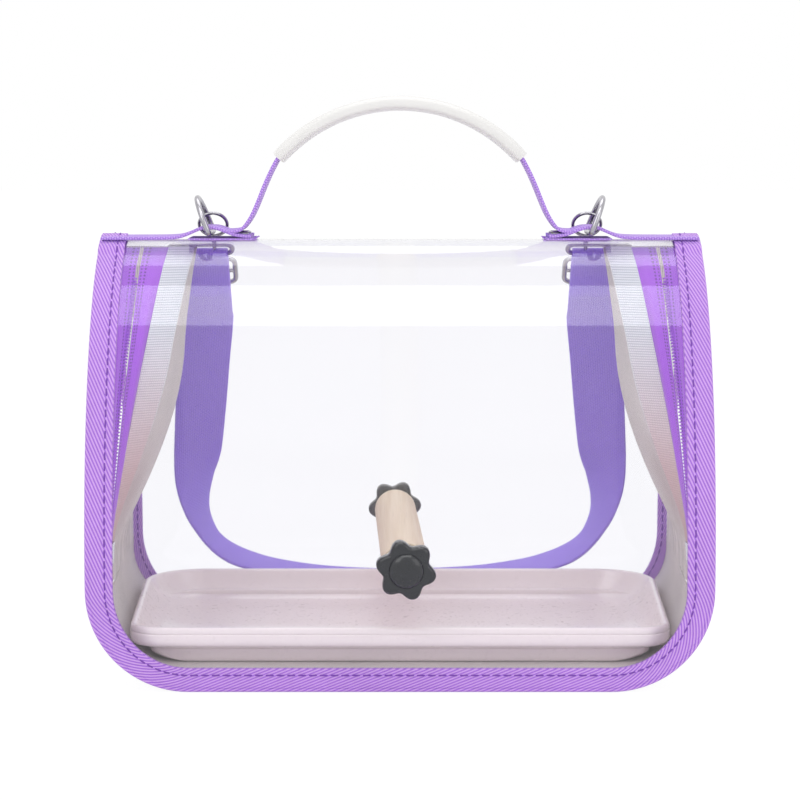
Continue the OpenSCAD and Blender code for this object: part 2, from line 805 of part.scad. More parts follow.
module shoulder_strap() {
    wide = flip_rows(strap_wide);
    n = len(strap_line);
    tan_v = [for (i = [0 : n - 1]) unit3(strap_line[min(n - 1, i + 1)] - strap_line[max(0, i - 1)])];
    face = [for (i = [0 : n - 1]) unit3(cross(tan_v[i], wide[i]))];
    a = [for (i = [0 : n - 1])
        [for (k = [-1, 1]) strap_line[i] + k * web_w / 2 * wide[i] - web_t / 2 * face[i]]];
    b = [for (i = [0 : n - 1])
        [for (k = [-1, 1]) strap_line[i] + k * web_w / 2 * wide[i] + web_t / 2 * face[i]]];
    color(deep_purple) {
        grid_sheet(b, a);
        for (s = [-1, 1])
            translate([s * strap_top_x, loop_bar.y, loop_bar.z])
                rotate([0, 90, 0])
                    difference() {
                        cylinder(h = web_w, r = loop_wire_r + 0.15 + web_t, center = true, $fn = 32);
                        cylinder(h = web_w + 1, r = loop_wire_r + 0.15, center = true, $fn = 32);
                    }
    }
}

// Perch and its knobs. The front end points to -Y.
rod_half = half_out(perch_z + perch_r) - sheet_t - soft_gap;
insert_bore = stud_r + 0.05;
knob_face = half_d + 0.3;
stud_in = 11;

module perch_end(s) {
    at_perch() rotate([0, 0, s < 0 ? 0 : 180]) rotate([90, 0, 0]) children();
}

module perch_rod() {
    color(timber) difference() {
        at_perch() rotate([90, 0, 0])
            cylinder(h = 2 * rod_half, r = perch_r, center = true, $fn = 64);
        for (s = [-1, 1])
            perch_end(s) translate([0, 0, rod_half - insert_len - 1])
                cylinder(h = insert_len + 5, r = insert_r, $fn = 48);
    }
}

module insert(s) {
    color("#b08d57") perch_end(s)
        translate([0, 0, rod_half - insert_len])
            difference() {
                cylinder(h = insert_len, r = insert_r, $fn = 48);
                translate([0, 0, -1]) cylinder(h = insert_len + 2, r = insert_bore, $fn = 48);
            }
}

module stud(s) {
    color(steel) perch_end(s)
        translate([0, 0, rod_half - stud_in])
            cylinder(h = stud_in + knob_face - rod_half + boss_t + knob_t - 1, r = stud_r, $fn = 48);
}

lobes = 6;
lobe_at = 9.6;
// How far each knob happens to be turned, as seen from outside it
front_turn = 46;
back_turn = 55;

module knob(s) {
    dome_base = boss_t + knob_t;
    dome_r = knob_r * 0.735;
    ball_r = (dome_r * dome_r + dome_t * dome_t) / (2 * dome_t);
    color(black_grey) perch_end(s) translate([0, 0, knob_face])
        difference() {
            union() {
                cylinder(h = boss_t, r = knob_r * 0.72);
                translate([0, 0, boss_t])
                    linear_extrude(knob_t) {
                        circle(knob_r);
                        for (i = [0 : lobes - 1])
                            rotate([0, 0, 360 / lobes * i + (s < 0 ? front_turn : back_turn)])
                                translate([lobe_at, 0])
                                    circle(lobe_r);
                    }
                intersection() {
                    translate([0, 0, dome_base + dome_t - ball_r])
                        sphere(ball_r, $fn = 64);
                    translate([0, 0, dome_base - 0.5])
                        cylinder(h = dome_t + 1, r = dome_r);
                }
            }
            translate([0, 0, -1])
                cylinder(h = boss_t + knob_t, r = stud_r, $fn = 48);
        }
}

// Open tray that rests on the floor mesh. It is a little wider at the back, like the bag, and
// its foot steps in to clear the floor's round corners.
tray_z = seam_in + mesh_t + soft_gap;
tray_d = 2 * (half_d - wall_in - tray_room_y);
tray_front_y = -1.25 - tray_d / 2;
tray_back_y = tray_front_y + tray_d;
tray_front_w = seam_x - tray_room - 0.4;
tray_back_w = back_seam_x - tray_room + 0.4;
wall_step = 1.5;
foot_step = 8.5;
tray_floor_t = 2.3;
rim_z = tray_h - tray_rim_h;
// Each level: its lower face, its step in at the ends, and its step in at the sides
tray_levels = [
    [0, foot_step + 11.5, foot_step],
    [1.2, foot_step + 5.5, foot_step],
    [3.5, foot_step, foot_step],
    [rim_z - 2, wall_step, wall_step],
    [rim_z, 0, 0]
];
tray_flare = atan((tray_back_w - tray_front_w) / tray_d);
corner_parts = 12;

function tray_corner(x, y, r, a0, a1) =
    [for (k = [0 : corner_parts])
        let (a = a0 + (a1 - a0) * k / corner_parts) [x + r * cos(a), y + r * sin(a)]];

// Plan of the tray, drawn in at its ends and at its front and back
module tray_plan(in_x, in_y) {
    front = tray_front_y + in_y;
    back = tray_back_y - in_y;
    fr = max(2, tray_front_r - in_y);
    br = max(2, tray_back_r - in_y);
    fx = tray_front_w - in_x + (in_y + fr) * tan(tray_flare) - fr / cos(tray_flare);
    bx = tray_back_w - in_x - (in_y + br) * tan(tray_flare) - br / cos(tray_flare);
    right = concat(
        tray_corner(fx, front + fr, fr, -90, -tray_flare),
        tray_corner(bx, back - br, br, -tray_flare, 90));
    polygon(concat(right, [for (p = reversed(right)) [-p.x, p.y]]));
}

module tray_slab(z0, z1, in_x, in_y) {
    translate([0, 0, tray_z + z0])
        linear_extrude(z1 - z0)
            tray_plan(in_x, in_y);
}

module tray() {
    tops = [for (i = [1 : len(tray_levels) - 1]) tray_levels[i][0], tray_h];
    color(tray_pink)
    difference() {
        for (i = [0 : len(tray_levels) - 1])
            tray_slab(tray_levels[i][0], tops[i], tray_levels[i][1], tray_levels[i][2]);
        for (i = [0 : len(tray_levels) - 2])
            tray_slab(tray_levels[i][0] + tray_floor_t, tray_h + 1,
                tray_levels[i][1] + tray_t, tray_levels[i][2] + tray_t);
    }
}

clear_sheet();
binding(-1);  // front_binding
binding(1);  // back_binding
floor_mesh();
side_mesh(-1);  // left_side_mesh
side_mesh(1);  // right_side_mesh
edge_tape(-1);  // left_edge_tape
edge_tape(1);  // right_edge_tape
zip_tape(-1);  // left_zip_tape
zip_tape(1);  // right_zip_tape
zip_coil(-1);  // left_zip_coil
zip_coil(1);  // right_zip_coil
zip_slider(-1);  // left_zip_slider
zip_slider(1);  // right_zip_slider
zip_pull(-1);  // left_zip_pull
zip_pull(1);  // right_zip_pull
ridge_webbing(-1);  // left_ridge_webbing
ridge_webbing(1);  // right_ridge_webbing
ring_keeper(-1);  // left_ring_keeper
ring_keeper(1);  // right_ring_keeper
rivet(-1);  // left_rivet
rivet(1);  // right_rivet
d_ring(-1);  // left_d_ring
d_ring(1);  // right_d_ring
link(-1);  // left_link
link(1);  // right_link
strap_loop(-1);  // left_strap_loop
strap_loop(1);  // right_strap_loop
strap_slider(-1);  // left_strap_slider
strap_slider(1);  // right_strap_slider
shoulder_strap();
handle_webbing();
grip_sleeve();
perch_rod();
insert(-1);  // front_insert
insert(1);  // back_insert
stud(-1);  // front_stud
stud(1);  // back_stud
knob(-1);  // front_knob
knob(1);  // back_knob
tray();
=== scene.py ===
import math
from types import SimpleNamespace

import bmesh
import bpy
import numpy as np
from bpy.props import FloatProperty, FloatVectorProperty, IntProperty, PointerProperty
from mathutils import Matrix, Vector


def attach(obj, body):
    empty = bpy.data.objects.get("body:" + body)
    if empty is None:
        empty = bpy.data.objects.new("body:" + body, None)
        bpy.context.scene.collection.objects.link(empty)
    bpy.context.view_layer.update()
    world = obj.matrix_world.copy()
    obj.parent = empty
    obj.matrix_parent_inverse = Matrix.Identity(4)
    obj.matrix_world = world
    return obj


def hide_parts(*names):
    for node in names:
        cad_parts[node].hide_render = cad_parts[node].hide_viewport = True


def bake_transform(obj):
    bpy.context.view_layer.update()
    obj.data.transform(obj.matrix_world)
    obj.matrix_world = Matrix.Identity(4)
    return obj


bl_info = {
    "name": "Clear bird carrier",
    "version": (1, 0, 0),
    "blender": (4, 5, 0),
    "location": "3D View > Sidebar > Carrier",
    "description": "Dresses a clear travel carrier for a small bird, piece by piece",
    "category": "Object",
}

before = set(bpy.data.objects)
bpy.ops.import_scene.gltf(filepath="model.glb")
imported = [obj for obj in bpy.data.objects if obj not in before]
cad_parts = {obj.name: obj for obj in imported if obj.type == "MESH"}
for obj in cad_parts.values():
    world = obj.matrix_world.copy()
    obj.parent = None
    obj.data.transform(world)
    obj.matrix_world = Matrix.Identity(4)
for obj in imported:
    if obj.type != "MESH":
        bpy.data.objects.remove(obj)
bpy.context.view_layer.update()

# Sizes in millimetres, as in the part's source
HALF_D, LEAN, RISE, HALF_W, CORNER = 75.0, 40.0, 151.0, 135.0, 44.0
RIDGE = LEAN + RISE
SHEET_T, BIND_T, BIND_W = 0.8, 0.9, 12.0
SEAM_X, BACK_SEAM_X, FLOOR_R, FLOOR_Z, FLOOR_TOP = 126.0, 131.5, 27.0, 9.0, 42.0
ZIP_R, ZIP_LEAN, ZIP_W, ZIP_ZC, ZIP_Z0 = 200.0, math.radians(4.3), 20.0, 50.0, 58.0
ZIP_YC = -HALF_D + ZIP_W / 2 + ZIP_R
WEB_W, WEB_T = 25.0, 1.4
KEEPER_Z = RIDGE + 0.1
RING_WIRE, RING_HALF = 1.3, 14.3
RIVET_X, RING_X, BAR_Z = 70.7, 85.5, KEEPER_Z + WEB_T + 0.3 + RING_WIRE
PERCH_Z, PERCH_TURN = 54.8, math.radians(1.8)
LINK = np.array([RING_X, RING_HALF - 1.5, BAR_Z + 3])
EYE = np.array([RING_X, RING_HALF + 5.2, BAR_Z - 5.6])
STRAP_X, LOOP_H, RUN_LEN, SLIDER_AT = 92.0, 6.1, 44.0, 13.0
FOLD_IN, FOLD_FOOT = 30.7, 55.0
TRAY_FRONT, TRAY_BACK, TRAY_FRONT_HALF, TRAY_BACK_HALF, TRAY_Z = -69.0, 66.5, 117.2, 123.5, 10.2
KNOB_R, LOBE, KNOB_BORE, KNOB_GAP = 11.68, 1.4, 2.52, 0.3
TAU = math.tau
RIDGE_WEB_X = [-133.6, -125, -115, -106, -100, -96, -92, -88.5, -85.5, -82.5, -79, -75.5, -72.5, -69.5, -66.7]
RIDGE_WEB_RISE = [0, 0, 0.02, 0.1, 0.45, 1.5, 3.2, 4.55, 4.7, 4.5, 3.4, 2.0, 1.3, 0.95, 0.85]

# The camera: focal length and picture width in pixels, place in metres, degrees down from level
FOCAL_PX, VIEW_PX, CAMERA_AT, CAMERA_DOWN = 2275, 800, (0, -1.031, 0.240), 6.77


def srgb(r, g, b):
    """A colour picked as 0 to 255 screen values, as the linear values that shaders take."""
    c = np.array([r, g, b]) / 255
    return tuple(np.where(c <= 0.04045, c / 12.92, ((c + 0.055) / 1.055) ** 2.4))


# Geometry in whole arrays


def unit(v):
    """Vectors along the last axis, scaled to length 1."""
    return v / np.maximum(np.linalg.norm(v, axis=-1, keepdims=True), 1e-9)


def even(path, count=None, step=None, closed=False):
    """The polyline path walked again in even steps of its own length."""
    path = np.asarray(path, float)
    if closed:
        path = np.vstack([path, path[:1]])
    s = np.concatenate([[0], np.cumsum(np.linalg.norm(np.diff(path, axis=0), axis=1))])
    count = count or max(2, int(round(s[-1] / step)) + 1)
    t = np.linspace(0, s[-1], count + 1)[:-1] if closed else np.linspace(0, s[-1], count)
    return np.stack([np.interp(t, s, path[:, k]) for k in range(path.shape[1])], -1)


def spline(points, per):
    """Catmull-Rom curve through the points along axis 0, with per steps between two of them."""
    p = np.asarray(points, float)
    q = np.concatenate([2 * p[:1] - p[1:2], p, 2 * p[-1:] - p[-2:-1]])
    n = len(p) - 1
    i = np.repeat(np.arange(n), per)
    t = np.tile(np.arange(per) / per, n).reshape((-1,) + (1,) * (p.ndim - 1))
    a, b, c, d = q[i], q[i + 1], q[i + 2], q[i + 3]
    out = 0.5 * (2 * b + (c - a) * t + (2 * a - 5 * b + 4 * c - d) * t**2 + (3 * b - a - 3 * c + d) * t**3)
    return np.concatenate([out, p[-1:]])


def around(n):
    """n even angles of one full turn."""
    return np.arange(n) * TAU / n


def polar(a, r=1.0):
    """Points at angles a on a circle of radius r."""
    return np.stack([r * np.cos(a), r * np.sin(a)], -1)


def mirrored(p):
    """The line p followed by its mirror image in x, joined where they meet."""
    flip = np.array([-1.0] + [1.0] * (p.shape[1] - 1))
    return np.vstack([p, (p * flip)[::-1][1:]])


def turned(prof, n):
    """A profile of radius and height turned about z, as points p[step, angle]."""
    prof, a = np.asarray(prof, float), around(n)
    x, y = prof[:, :1] * np.cos(a), prof[:, :1] * np.sin(a)
    return np.stack([x, y, np.broadcast_to(prof[:, 1:], x.shape)], -1)


def run_length(points, closed=False):
    """Distance walked along the points, with one more entry where the line closes."""
    p = np.vstack([points, points[:1]]) if closed else points
    return np.concatenate([[0], np.cumsum(np.linalg.norm(np.diff(p, axis=0), axis=1))])


class Shape:
    """Vertices, faces and UVs of one piece, gathered from grids and caps before the mesh is made."""

    def __init__(self):
        self.verts, self.faces, self.uvs, self.count = [], [], [], 0

    def grid(self, p, u=None, v=None, close_u=False, close_v=False, flip=False):
        """A grid of points p[i, j] as quads, with u along i and v along j for its UVs."""
        m, n = p.shape[:2]
        u = np.arange(m + close_u, dtype=float) if u is None else np.asarray(u, float)
        v = np.arange(n + close_v, dtype=float) if v is None else np.asarray(v, float)
        i, j = np.meshgrid(np.arange(m - (not close_u)), np.arange(n - (not close_v)), indexing="ij")
        i, j = i.ravel(), j.ravel()
        corners = [(i, j), (i, j + 1), (i + 1, j + 1), (i + 1, j)]
        if flip:
            corners = corners[::-1]
        f = np.stack([(a % m) * n + b % n for a, b in corners], -1) + self.count
        uv = np.stack([np.stack([u[a], v[b]], -1) for a, b in corners], 1)
        self.verts.append(p.reshape(-1, 3))
        self.faces.extend(f.tolist())
        self.uvs.append(uv.reshape(-1, 2))
        self.count += m * n
        return self

    def cap(self, ring, u=0.0, v=None, flip=False):
        """One flat face over a ring of points."""
        n = len(ring)
        order = np.arange(n)[::-1] if flip else np.arange(n)
        v = np.arange(n, dtype=float) if v is None else np.asarray(v)[:n]
        self.verts.append(np.asarray(ring))
        self.faces.append((order + self.count).tolist())
        self.uvs.append(np.stack([np.full(n, u), v], -1)[order])
        self.count += n
        return self

    def shell(self, outer, inner, u=None, v=None):
        """A closed sheet between two grids of the same shape."""
        m, n = outer.shape[:2]
        self.grid(outer, u, v)
        self.grid(inner, u, v, flip=True)
        self.grid(np.stack([outer[:, 0], inner[:, 0]]), v=u)
        self.grid(np.stack([inner[:, -1], outer[:, -1]]), v=u)
        self.grid(np.stack([inner[0], outer[0]]), v=v)
        self.grid(np.stack([outer[-1], inner[-1]]), v=v)
        return self

    def piece(self, name, material, body, replaces=(), slot=None, merge=0.002):
        """Makes the mesh in metres, hands it to its body and names the CAD nodes that it replaces."""
        mesh = bpy.data.meshes.new(name)
        mesh.from_pydata((np.vstack(self.verts) * 0.001).tolist(), [], self.faces)
        mesh.uv_layers.new(name="cloth").data.foreach_set("uv", np.vstack(self.uvs).ravel())
        obj = bpy.data.objects.new(name, mesh)
        bpy.context.collection.objects.link(obj)
        weld(mesh, merge * 0.001)
        mesh.materials.append(material)
        mesh.shade_smooth()
        mesh.set_sharp_from_angle(angle=math.radians(42))
        if body:
            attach(obj, body)
        if replaces:
            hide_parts(*replaces)
        return obj


def weld(mesh, dist):
    """Joins points closer than dist, then turns the faces outwards."""
    bm = bmesh.new()
    bm.from_mesh(mesh)
    bmesh.ops.remove_doubles(bm, verts=bm.verts, dist=dist)
    bmesh.ops.recalc_face_normals(bm, faces=bm.faces)
    bm.to_mesh(mesh)
    bm.free()


def sweep(shape, mid, side, up, section, closed=False, scale=None):
    """A section (across, through) carried along mid: point = mid + across * side + through * up."""
    sec = np.asarray(section, float)[None]
    if scale is not None:
        sec = sec * np.asarray(scale)[:, None, None]
    p = mid[:, None] + sec[..., :1] * side[:, None] + sec[..., 1:] * up[:, None]
    u, v = run_length(mid, closed), run_length(np.asarray(section, float), True)
    shape.grid(p, u, v, close_u=closed, close_v=True)
    if not closed:
        shape.cap(p[0], u[0], v, flip=True)
        shape.cap(p[-1], u[-1], v)
    return shape


def tangents(path, closed=False):
    """Directions along a path."""
    if closed:
        return unit(np.roll(path, -1, 0) - np.roll(path, 1, 0))
    return unit(np.gradient(path, axis=0))


def round_section(r, n=12):
    """A circle of radius r as section points."""
    return polar(around(n), r)


def flat_section(w, t, across=9):
    """A flat band w wide and t thick with rounded long edges, walked round once."""
    r = t * 0.42
    quarter = polar(np.linspace(0, math.pi / 2, 4), r)
    x, y = w / 2 - r, t / 2 - r
    top = np.stack([np.linspace(x, -x, across)[1:-1], np.full(across - 2, t / 2)], -1)
    half = np.vstack([quarter + [x, y], top, (quarter * [-1, 1])[::-1] + [-x, y]])
    return np.vstack([half, -half])


def wire(shape, path, r, normal, closed=True, n=12):
    """Round wire along a flat path whose plane has that normal."""
    t = tangents(path, closed)
    up = np.broadcast_to(unit(np.asarray(normal, float)), path.shape)
    return sweep(shape, path, unit(np.cross(t, up)), up, round_section(r, n), closed)


def ring_path(w, h, r, step):
    """Rounded rectangle w by h in its own plane, as x, y points."""
    q = polar(np.linspace(0, math.pi / 2, 8), r)
    c = np.array([w / 2 - r, h / 2 - r])
    half = np.vstack([q + c, (q * [-1, 1])[::-1] + c * [-1, 1]])
    return even(np.vstack([half, -half]), step=step, closed=True)


def place(path, origin, x_dir, y_dir):
    """Plane points carried into space."""
    return np.asarray(origin) + path[:, :1] * np.asarray(x_dir) + path[:, 1:] * np.asarray(y_dir)


def arch(a):
    """Outside of the clear sheet, y and z, at angle a in degrees: 0 back foot, 90 ridge, 180 front foot.

    y = 75 cos^1.25 and z = 40 + 151 sin^0.952, with straight legs below.
    """
    a = np.asarray(a, float)
    t = np.radians(np.clip(a, 0, 180))
    y = HALF_D * np.sign(np.cos(t)) * np.abs(np.cos(t)) ** 1.25
    z = LEAN + RISE * np.abs(np.sin(t)) ** (2 / 2.1)
    return np.stack([y, z + np.minimum(a, 0) + np.minimum(180 - a, 0)], -1)


def half_in(z):
    """Half depth inside the sheet and its binding at height z."""
    wall = SHEET_T + BIND_T + 0.05
    q = np.clip((np.asarray(z, float) - LEAN) / (RISE - wall), 0, 1)
    return (HALF_D - wall) * (1 - q**2.1) ** (1 / 1.6)


def half_out(z):
    """Half depth outside the sheet at height z."""
    return HALF_D * (1 - np.clip((np.asarray(z, float) - LEAN) / RISE, 0, 1) ** 2.1) ** (1 / 1.6)


RUN_MID = RIDGE - 21.75
RUN = unit(np.array([0, half_out(RUN_MID) + 1.75 - EYE[1], RUN_MID - EYE[2]]))
RUN_OUT = np.array([0, -RUN[2], RUN[1]])
BAR = np.array([STRAP_X, EYE[1], EYE[2]]) + LOOP_H * RUN


def arch_line(foot, count):
    """Even points up the front leg, over the ridge and down the back leg, with their outward normals."""
    if foot < LEAN:
        top = 90 * np.cos(np.linspace(0, math.pi, 400))
        a = np.concatenate([np.linspace(180 + LEAN - foot, 180, 40), 90 + top, np.linspace(0, foot - LEAN, 40)])
    else:
        start = math.degrees(math.asin(((foot - LEAN) / RISE) ** 1.05))
        a = 90 + (90 - start) * np.cos(np.linspace(0, math.pi, 480))
    p = even(arch(a), count)
    t = tangents(p)
    return p, np.stack([-t[:, 1], t[:, 0]], -1)


# Shader tools


class Nodes:
    """Short-hand for a node tree: makes a node, sets its sockets and links it."""

    def __init__(self, tree):
        self.tree = tree

    def add(self, kind, inputs=None, **settings):
        n = self.tree.nodes.new("ShaderNode" + kind)
        for key, value in settings.items():
            setattr(n, key, value)
        for key, value in (inputs or {}).items():
            self.put(n.inputs[key], value)
        return n

    def put(self, socket, value):
        if isinstance(value, bpy.types.NodeSocket):
            self.tree.links.new(value, socket)
        elif hasattr(value, "__len__") and len(value) == 3 and socket.type == "RGBA":
            socket.default_value = (*value, 1)
        else:
            socket.default_value = value

    def math(self, operation, a, b=0.0, c=0.0):
        n = self.add("Math", {0: a, 1: b, 2: c}, operation=operation)
        return n.outputs[0]

    def remap(self, value, low, high, to_low=0.0, to_high=1.0):
        return self.add("MapRange", {0: value, 1: low, 2: high, 3: to_low, 4: to_high}).outputs[0]

    def mix(self, fac, a, b, blend="MIX"):
        n = self.add("Mix", {0: fac, 6: a, 7: b}, data_type="RGBA", blend_type=blend)
        return n.outputs[2]

    def noise(self, vector, scale, detail=3.0, rough=0.5):
        n = self.add("TexNoise", {"Vector": vector, "Scale": scale, "Detail": detail, "Roughness": rough})
        return n.outputs[0]

    def wave(self, value, period, turn=TAU):
        """Sine of the value, which goes through that much of a turn in each period."""
        return self.math("SINE", self.math("MULTIPLY", value, self.math("DIVIDE", turn, period)))

    def split(self, vector):
        """The parts of a vector."""
        return self.add("SeparateXYZ", {0: vector}).outputs

    def cloth_uv(self):
        return self.add("UVMap", uv_map="cloth").outputs[0]

    def object_space(self):
        return self.add("TexCoord").outputs["Object"]

    def bump(self, shader, height, strength, depth):
        """Lets the height bend the shader's normal; depth is in mm."""
        n = self.add("Bump", {"Strength": strength, "Distance": depth * 0.001, "Height": height})
        self.put(shader.inputs["Normal"], n.outputs[0])

    def drift(self, colour, scale, amount):
        """The colour times a slow change of tone."""
        tone = use(self, ageing_group(), Scale=scale, Amount=amount)[0]
        grey = self.add("CombineColor", {0: tone, 1: tone, 2: tone})
        return self.mix(1.0, colour, grey.outputs[0], "MULTIPLY")


GROUPS = {}


def group(name, ins, outs, build):
    """Makes a shader node group once: ins and outs are (name, socket type, default)."""
    if name not in GROUPS:
        tree = bpy.data.node_groups.new(name, "ShaderNodeTree")
        for n, kind, default in ins:
            s = tree.interface.new_socket(n, in_out="INPUT", socket_type="NodeSocket" + kind)
            if default is not None:
                s.default_value = default
        for n, kind in outs:
            tree.interface.new_socket(n, in_out="OUTPUT", socket_type="NodeSocket" + kind)
        k = Nodes(tree)
        a, b = tree.nodes.new("NodeGroupInput"), tree.nodes.new("NodeGroupOutput")
        build(k, a.outputs, b.inputs)
        GROUPS[name] = tree
    return GROUPS[name]


def use(k, tree, **inputs):
    """A node group's outputs, with its inputs set."""
    n = k.tree.nodes.new("ShaderNodeGroup")
    n.node_tree = tree
    for key, value in inputs.items():
        k.put(n.inputs[key], value)
    return n.outputs


def twill_group():
    """Slanting ribs crossed by fine threads: height from two sine waves of the cloth's UV."""

    def build(k, i, o):
        s = k.split(i["Vector"])
        rib = k.wave(k.math("MULTIPLY_ADD", s[0], i["Lean"], s[1]), i["Pitch"])
        fine = k.wave(k.math("SUBTRACT", s[0], s[1]), i["Thread"])
        h = k.math("MULTIPLY_ADD", fine, 0.3, k.remap(rib, -1, 1, 0, 1))
        k.put(o["Height"], k.remap(h, -0.3, 1.3))
        k.put(o["Shade"], k.remap(h, -0.1, 0.9))

    ins = [("Vector", "Vector", None), ("Pitch", "Float", 1.1), ("Thread", "Float", 0.45), ("Lean", "Float", 1.0)]
    return group("Twill", ins, [("Height", "Float"), ("Shade", "Float")], build)


def webbing_group():
    """Ribbed webbing: yarns along the band, each broken by its crossings."""

    def build(k, i, o):
        s = k.split(i["Vector"])
        yarn = k.math("MULTIPLY", s[1], k.math("DIVIDE", math.pi, i["Yarn"]))
        shift = k.math("MULTIPLY", k.math("FLOOR", k.math("DIVIDE", yarn, math.pi)), math.pi / 2)
        pick = k.math("MULTIPLY_ADD", s[0], k.math("DIVIDE", math.pi, i["Pick"]), shift)
        a = k.math("ABSOLUTE", k.math("SINE", yarn))
        b = k.math("ABSOLUTE", k.math("SINE", pick))
        h = k.math("MULTIPLY", k.math("SQRT", a), k.math("MULTIPLY_ADD", b, 0.6, 0.4))
        k.put(o["Height"], h)
        k.put(o["Shade"], k.remap(h, 0.1, 0.8))

    ins = [("Vector", "Vector", None), ("Yarn", "Float", 1.0), ("Pick", "Float", 1.6)]
    return group("Webbing", ins, [("Height", "Float"), ("Shade", "Float")], build)


def net_group():
    """Fine ribbed net: ribs along the cloth's u, with small slots between them."""

    def build(k, i, o):
        s = k.split(i["Vector"])
        rib = k.math("ABSOLUTE", k.wave(s[1], i["Rib"], math.pi))
        row = k.math("FLOOR", k.math("DIVIDE", s[1], i["Rib"]))
        along = k.math("MULTIPLY_ADD", s[0], k.math("DIVIDE", TAU, i["Step"]), k.math("MULTIPLY", row, math.pi))
        tie = k.math("SINE", along)
        slot = k.math("MULTIPLY", k.remap(rib, 0.25, 0.5, 1, 0), k.remap(tie, 0.0, 0.4))
        k.put(o["Hole"], k.math("MULTIPLY", slot, i["Open"]))
        k.put(o["Height"], k.math("MULTIPLY_ADD", k.remap(tie, -1, 1), 0.25, rib))

    ins = [("Vector", "Vector", None), ("Rib", "Float", 1.3), ("Step", "Float", 1.1), ("Open", "Float", 0.6)]
    return group("Net", ins, [("Hole", "Float"), ("Height", "Float")], build)


def zip_stitch_group():
    """Two double rows of small stitches either side of the coil, where v is the distance from its middle."""

    def build(k, i, o):
        s = k.split(i["Vector"])
        off = k.math("ABSOLUTE", s[1])
        rows = [k.remap(k.math("ABSOLUTE", k.math("SUBTRACT", off, at)), 0.2, 0.42, 1, 0) for at in (2.0, 3.4)]
        beat = k.math("SINE", k.math("MULTIPLY", s[0], TAU / 1.4))
        k.put(o["Mask"], k.math("MULTIPLY", k.math("MAXIMUM", *rows), k.remap(beat, -0.2, 0.4)))

    return group("Zip stitches", [("Vector", "Vector", None)], [("Mask", "Float")], build)


def ageing_group():
    """Slow drift of tone round 1, from noise in the object's own space."""

    def build(k, i, o):
        co = k.object_space()
        slow = k.noise(co, i["Scale"], 2.0)
        fast = k.noise(co, k.math("MULTIPLY", i["Scale"], 22.0), 2.0)
        both = k.math("MULTIPLY_ADD", fast, 0.35, k.math("MULTIPLY", slow, 0.65))
        low, high = (k.math(way, 1.0, i["Amount"]) for way in ("SUBTRACT", "ADD"))
        k.put(o["Tone"], k.remap(both, 0.3, 0.7, low, high))

    return group("Ageing", [("Scale", "Float", 18.0), ("Amount", "Float", 0.06)], [("Tone", "Float")], build)


def material(name):
    """A material, a helper for its nodes and its Principled shader; the last two are None if it was made before."""
    m = bpy.data.materials.get(name)
    if m:
        return m, None, None
    m = bpy.data.materials.new(name)
    m.use_nodes = True
    m.node_tree.nodes.clear()
    k = Nodes(m.node_tree)
    p = k.add("BsdfPrincipled")
    k.surface = k.add("OutputMaterial").inputs[0]
    k.put(k.surface, p.outputs[0])
    return m, k, p


def cloth_material(name, colour, dark, weave, depth, rough=0.85, sheen=0.25, swap=False, marks=None, rose_tint_and_shade=None,
                   **sizes):
    """Woven cloth: the weave sets height and mixes two tones, and slow noise drifts them.

    blush is a colour that comes in towards the foot of a gusset's strip, and its width in mm.
    """
    m, k, p = material(name)
    if k is None:
        return m
    uv = k.cloth_uv()
    s = k.split(uv)
    if swap:
        uv = k.add("CombineXYZ", {0: s[1], 1: s[0]}).outputs[0]
    w = use(k, weave, Vector=uv, **sizes)
    # The weave's Shade mask puts the darker colour where its grooves lie: painted shade.
    base = k.mix(w["Shade"], dark, colour)
    if marks:
        base = k.mix(use(k, marks, Vector=uv)[0], base, tuple(c * 0.45 for c in dark))
    if rose_tint_and_shade:
        tint, wide = rose_tint_and_shade
        low = k.remap(s[0], 90.0, 155.0, 0.7, 0.0)
        base = k.mix(k.math("MULTIPLY", low, k.remap(s[1], wide * 0.5, wide * 0.75, 1.0, 0.15)), base, tint)
        # Painted shade: a darker copy of the tint, strongest at the strip's foot.
        base = k.mix(k.remap(s[0], 50.0, 110.0, 0.35, 0.0), base, tuple(c * 0.42 for c in tint))
    k.put(p.inputs["Base Color"], k.drift(base, 16.0, 0.05))
    p.inputs["Roughness"].default_value = rough
    p.inputs["Sheen Weight"].default_value = sheen
    p.inputs["Sheen Roughness"].default_value = 0.5
    p.inputs["Specular IOR Level"].default_value = 0.3
    k.bump(p, w["Height"], 0.6, depth)
    return m


def net_material(name, colour, rib, step, hole, depth=0.3, hem=None):
    """Ribbed net with real see-through slots; hem is where its plain white edge starts, as the UV's v in mm.

    With a hem, the net also darkens a little in the fold beside the white tape.
    """
    m, k, p = material(name)
    if k is None:
        return m
    uv = k.cloth_uv()
    w = use(k, net_group(), Vector=uv, Rib=rib, Step=step, Open=hole)
    holes = w["Hole"]
    # The ribs' low parts take a darker copy of the net colour: painted shade.
    base = k.mix(w["Height"], tuple(c * 0.62 for c in colour), colour)
    if hem:
        s = k.split(uv)
        # Painted shade: a dark rose tint in the fold beside the white tape, strongest about 80 mm up.
        near = k.remap(k.math("ABSOLUTE", k.math("SUBTRACT", s[0], 80.0)), 2.0, 34.0, 1, 0)
        fold = k.math("MULTIPLY", near, k.remap(s[1], 8.0, 26.0, 0.3, 0.0))
        base = k.mix(fold, base, srgb(150, 84, 96))
        plain = k.remap(s[1], hem - 0.2, hem)
        base = k.mix(plain, base, srgb(236, 234, 236))
        holes = k.math("MULTIPLY", holes, k.math("SUBTRACT", 1.0, plain))
    k.put(p.inputs["Base Color"], k.drift(base, 30.0, 0.09))
    k.put(p.inputs["Alpha"], k.math("SUBTRACT", 1.0, holes))
    p.inputs["Roughness"].default_value = 0.9
    p.inputs["Sheen Weight"].default_value = 0.2
    k.bump(p, w["Height"], 0.7, depth)
    return m


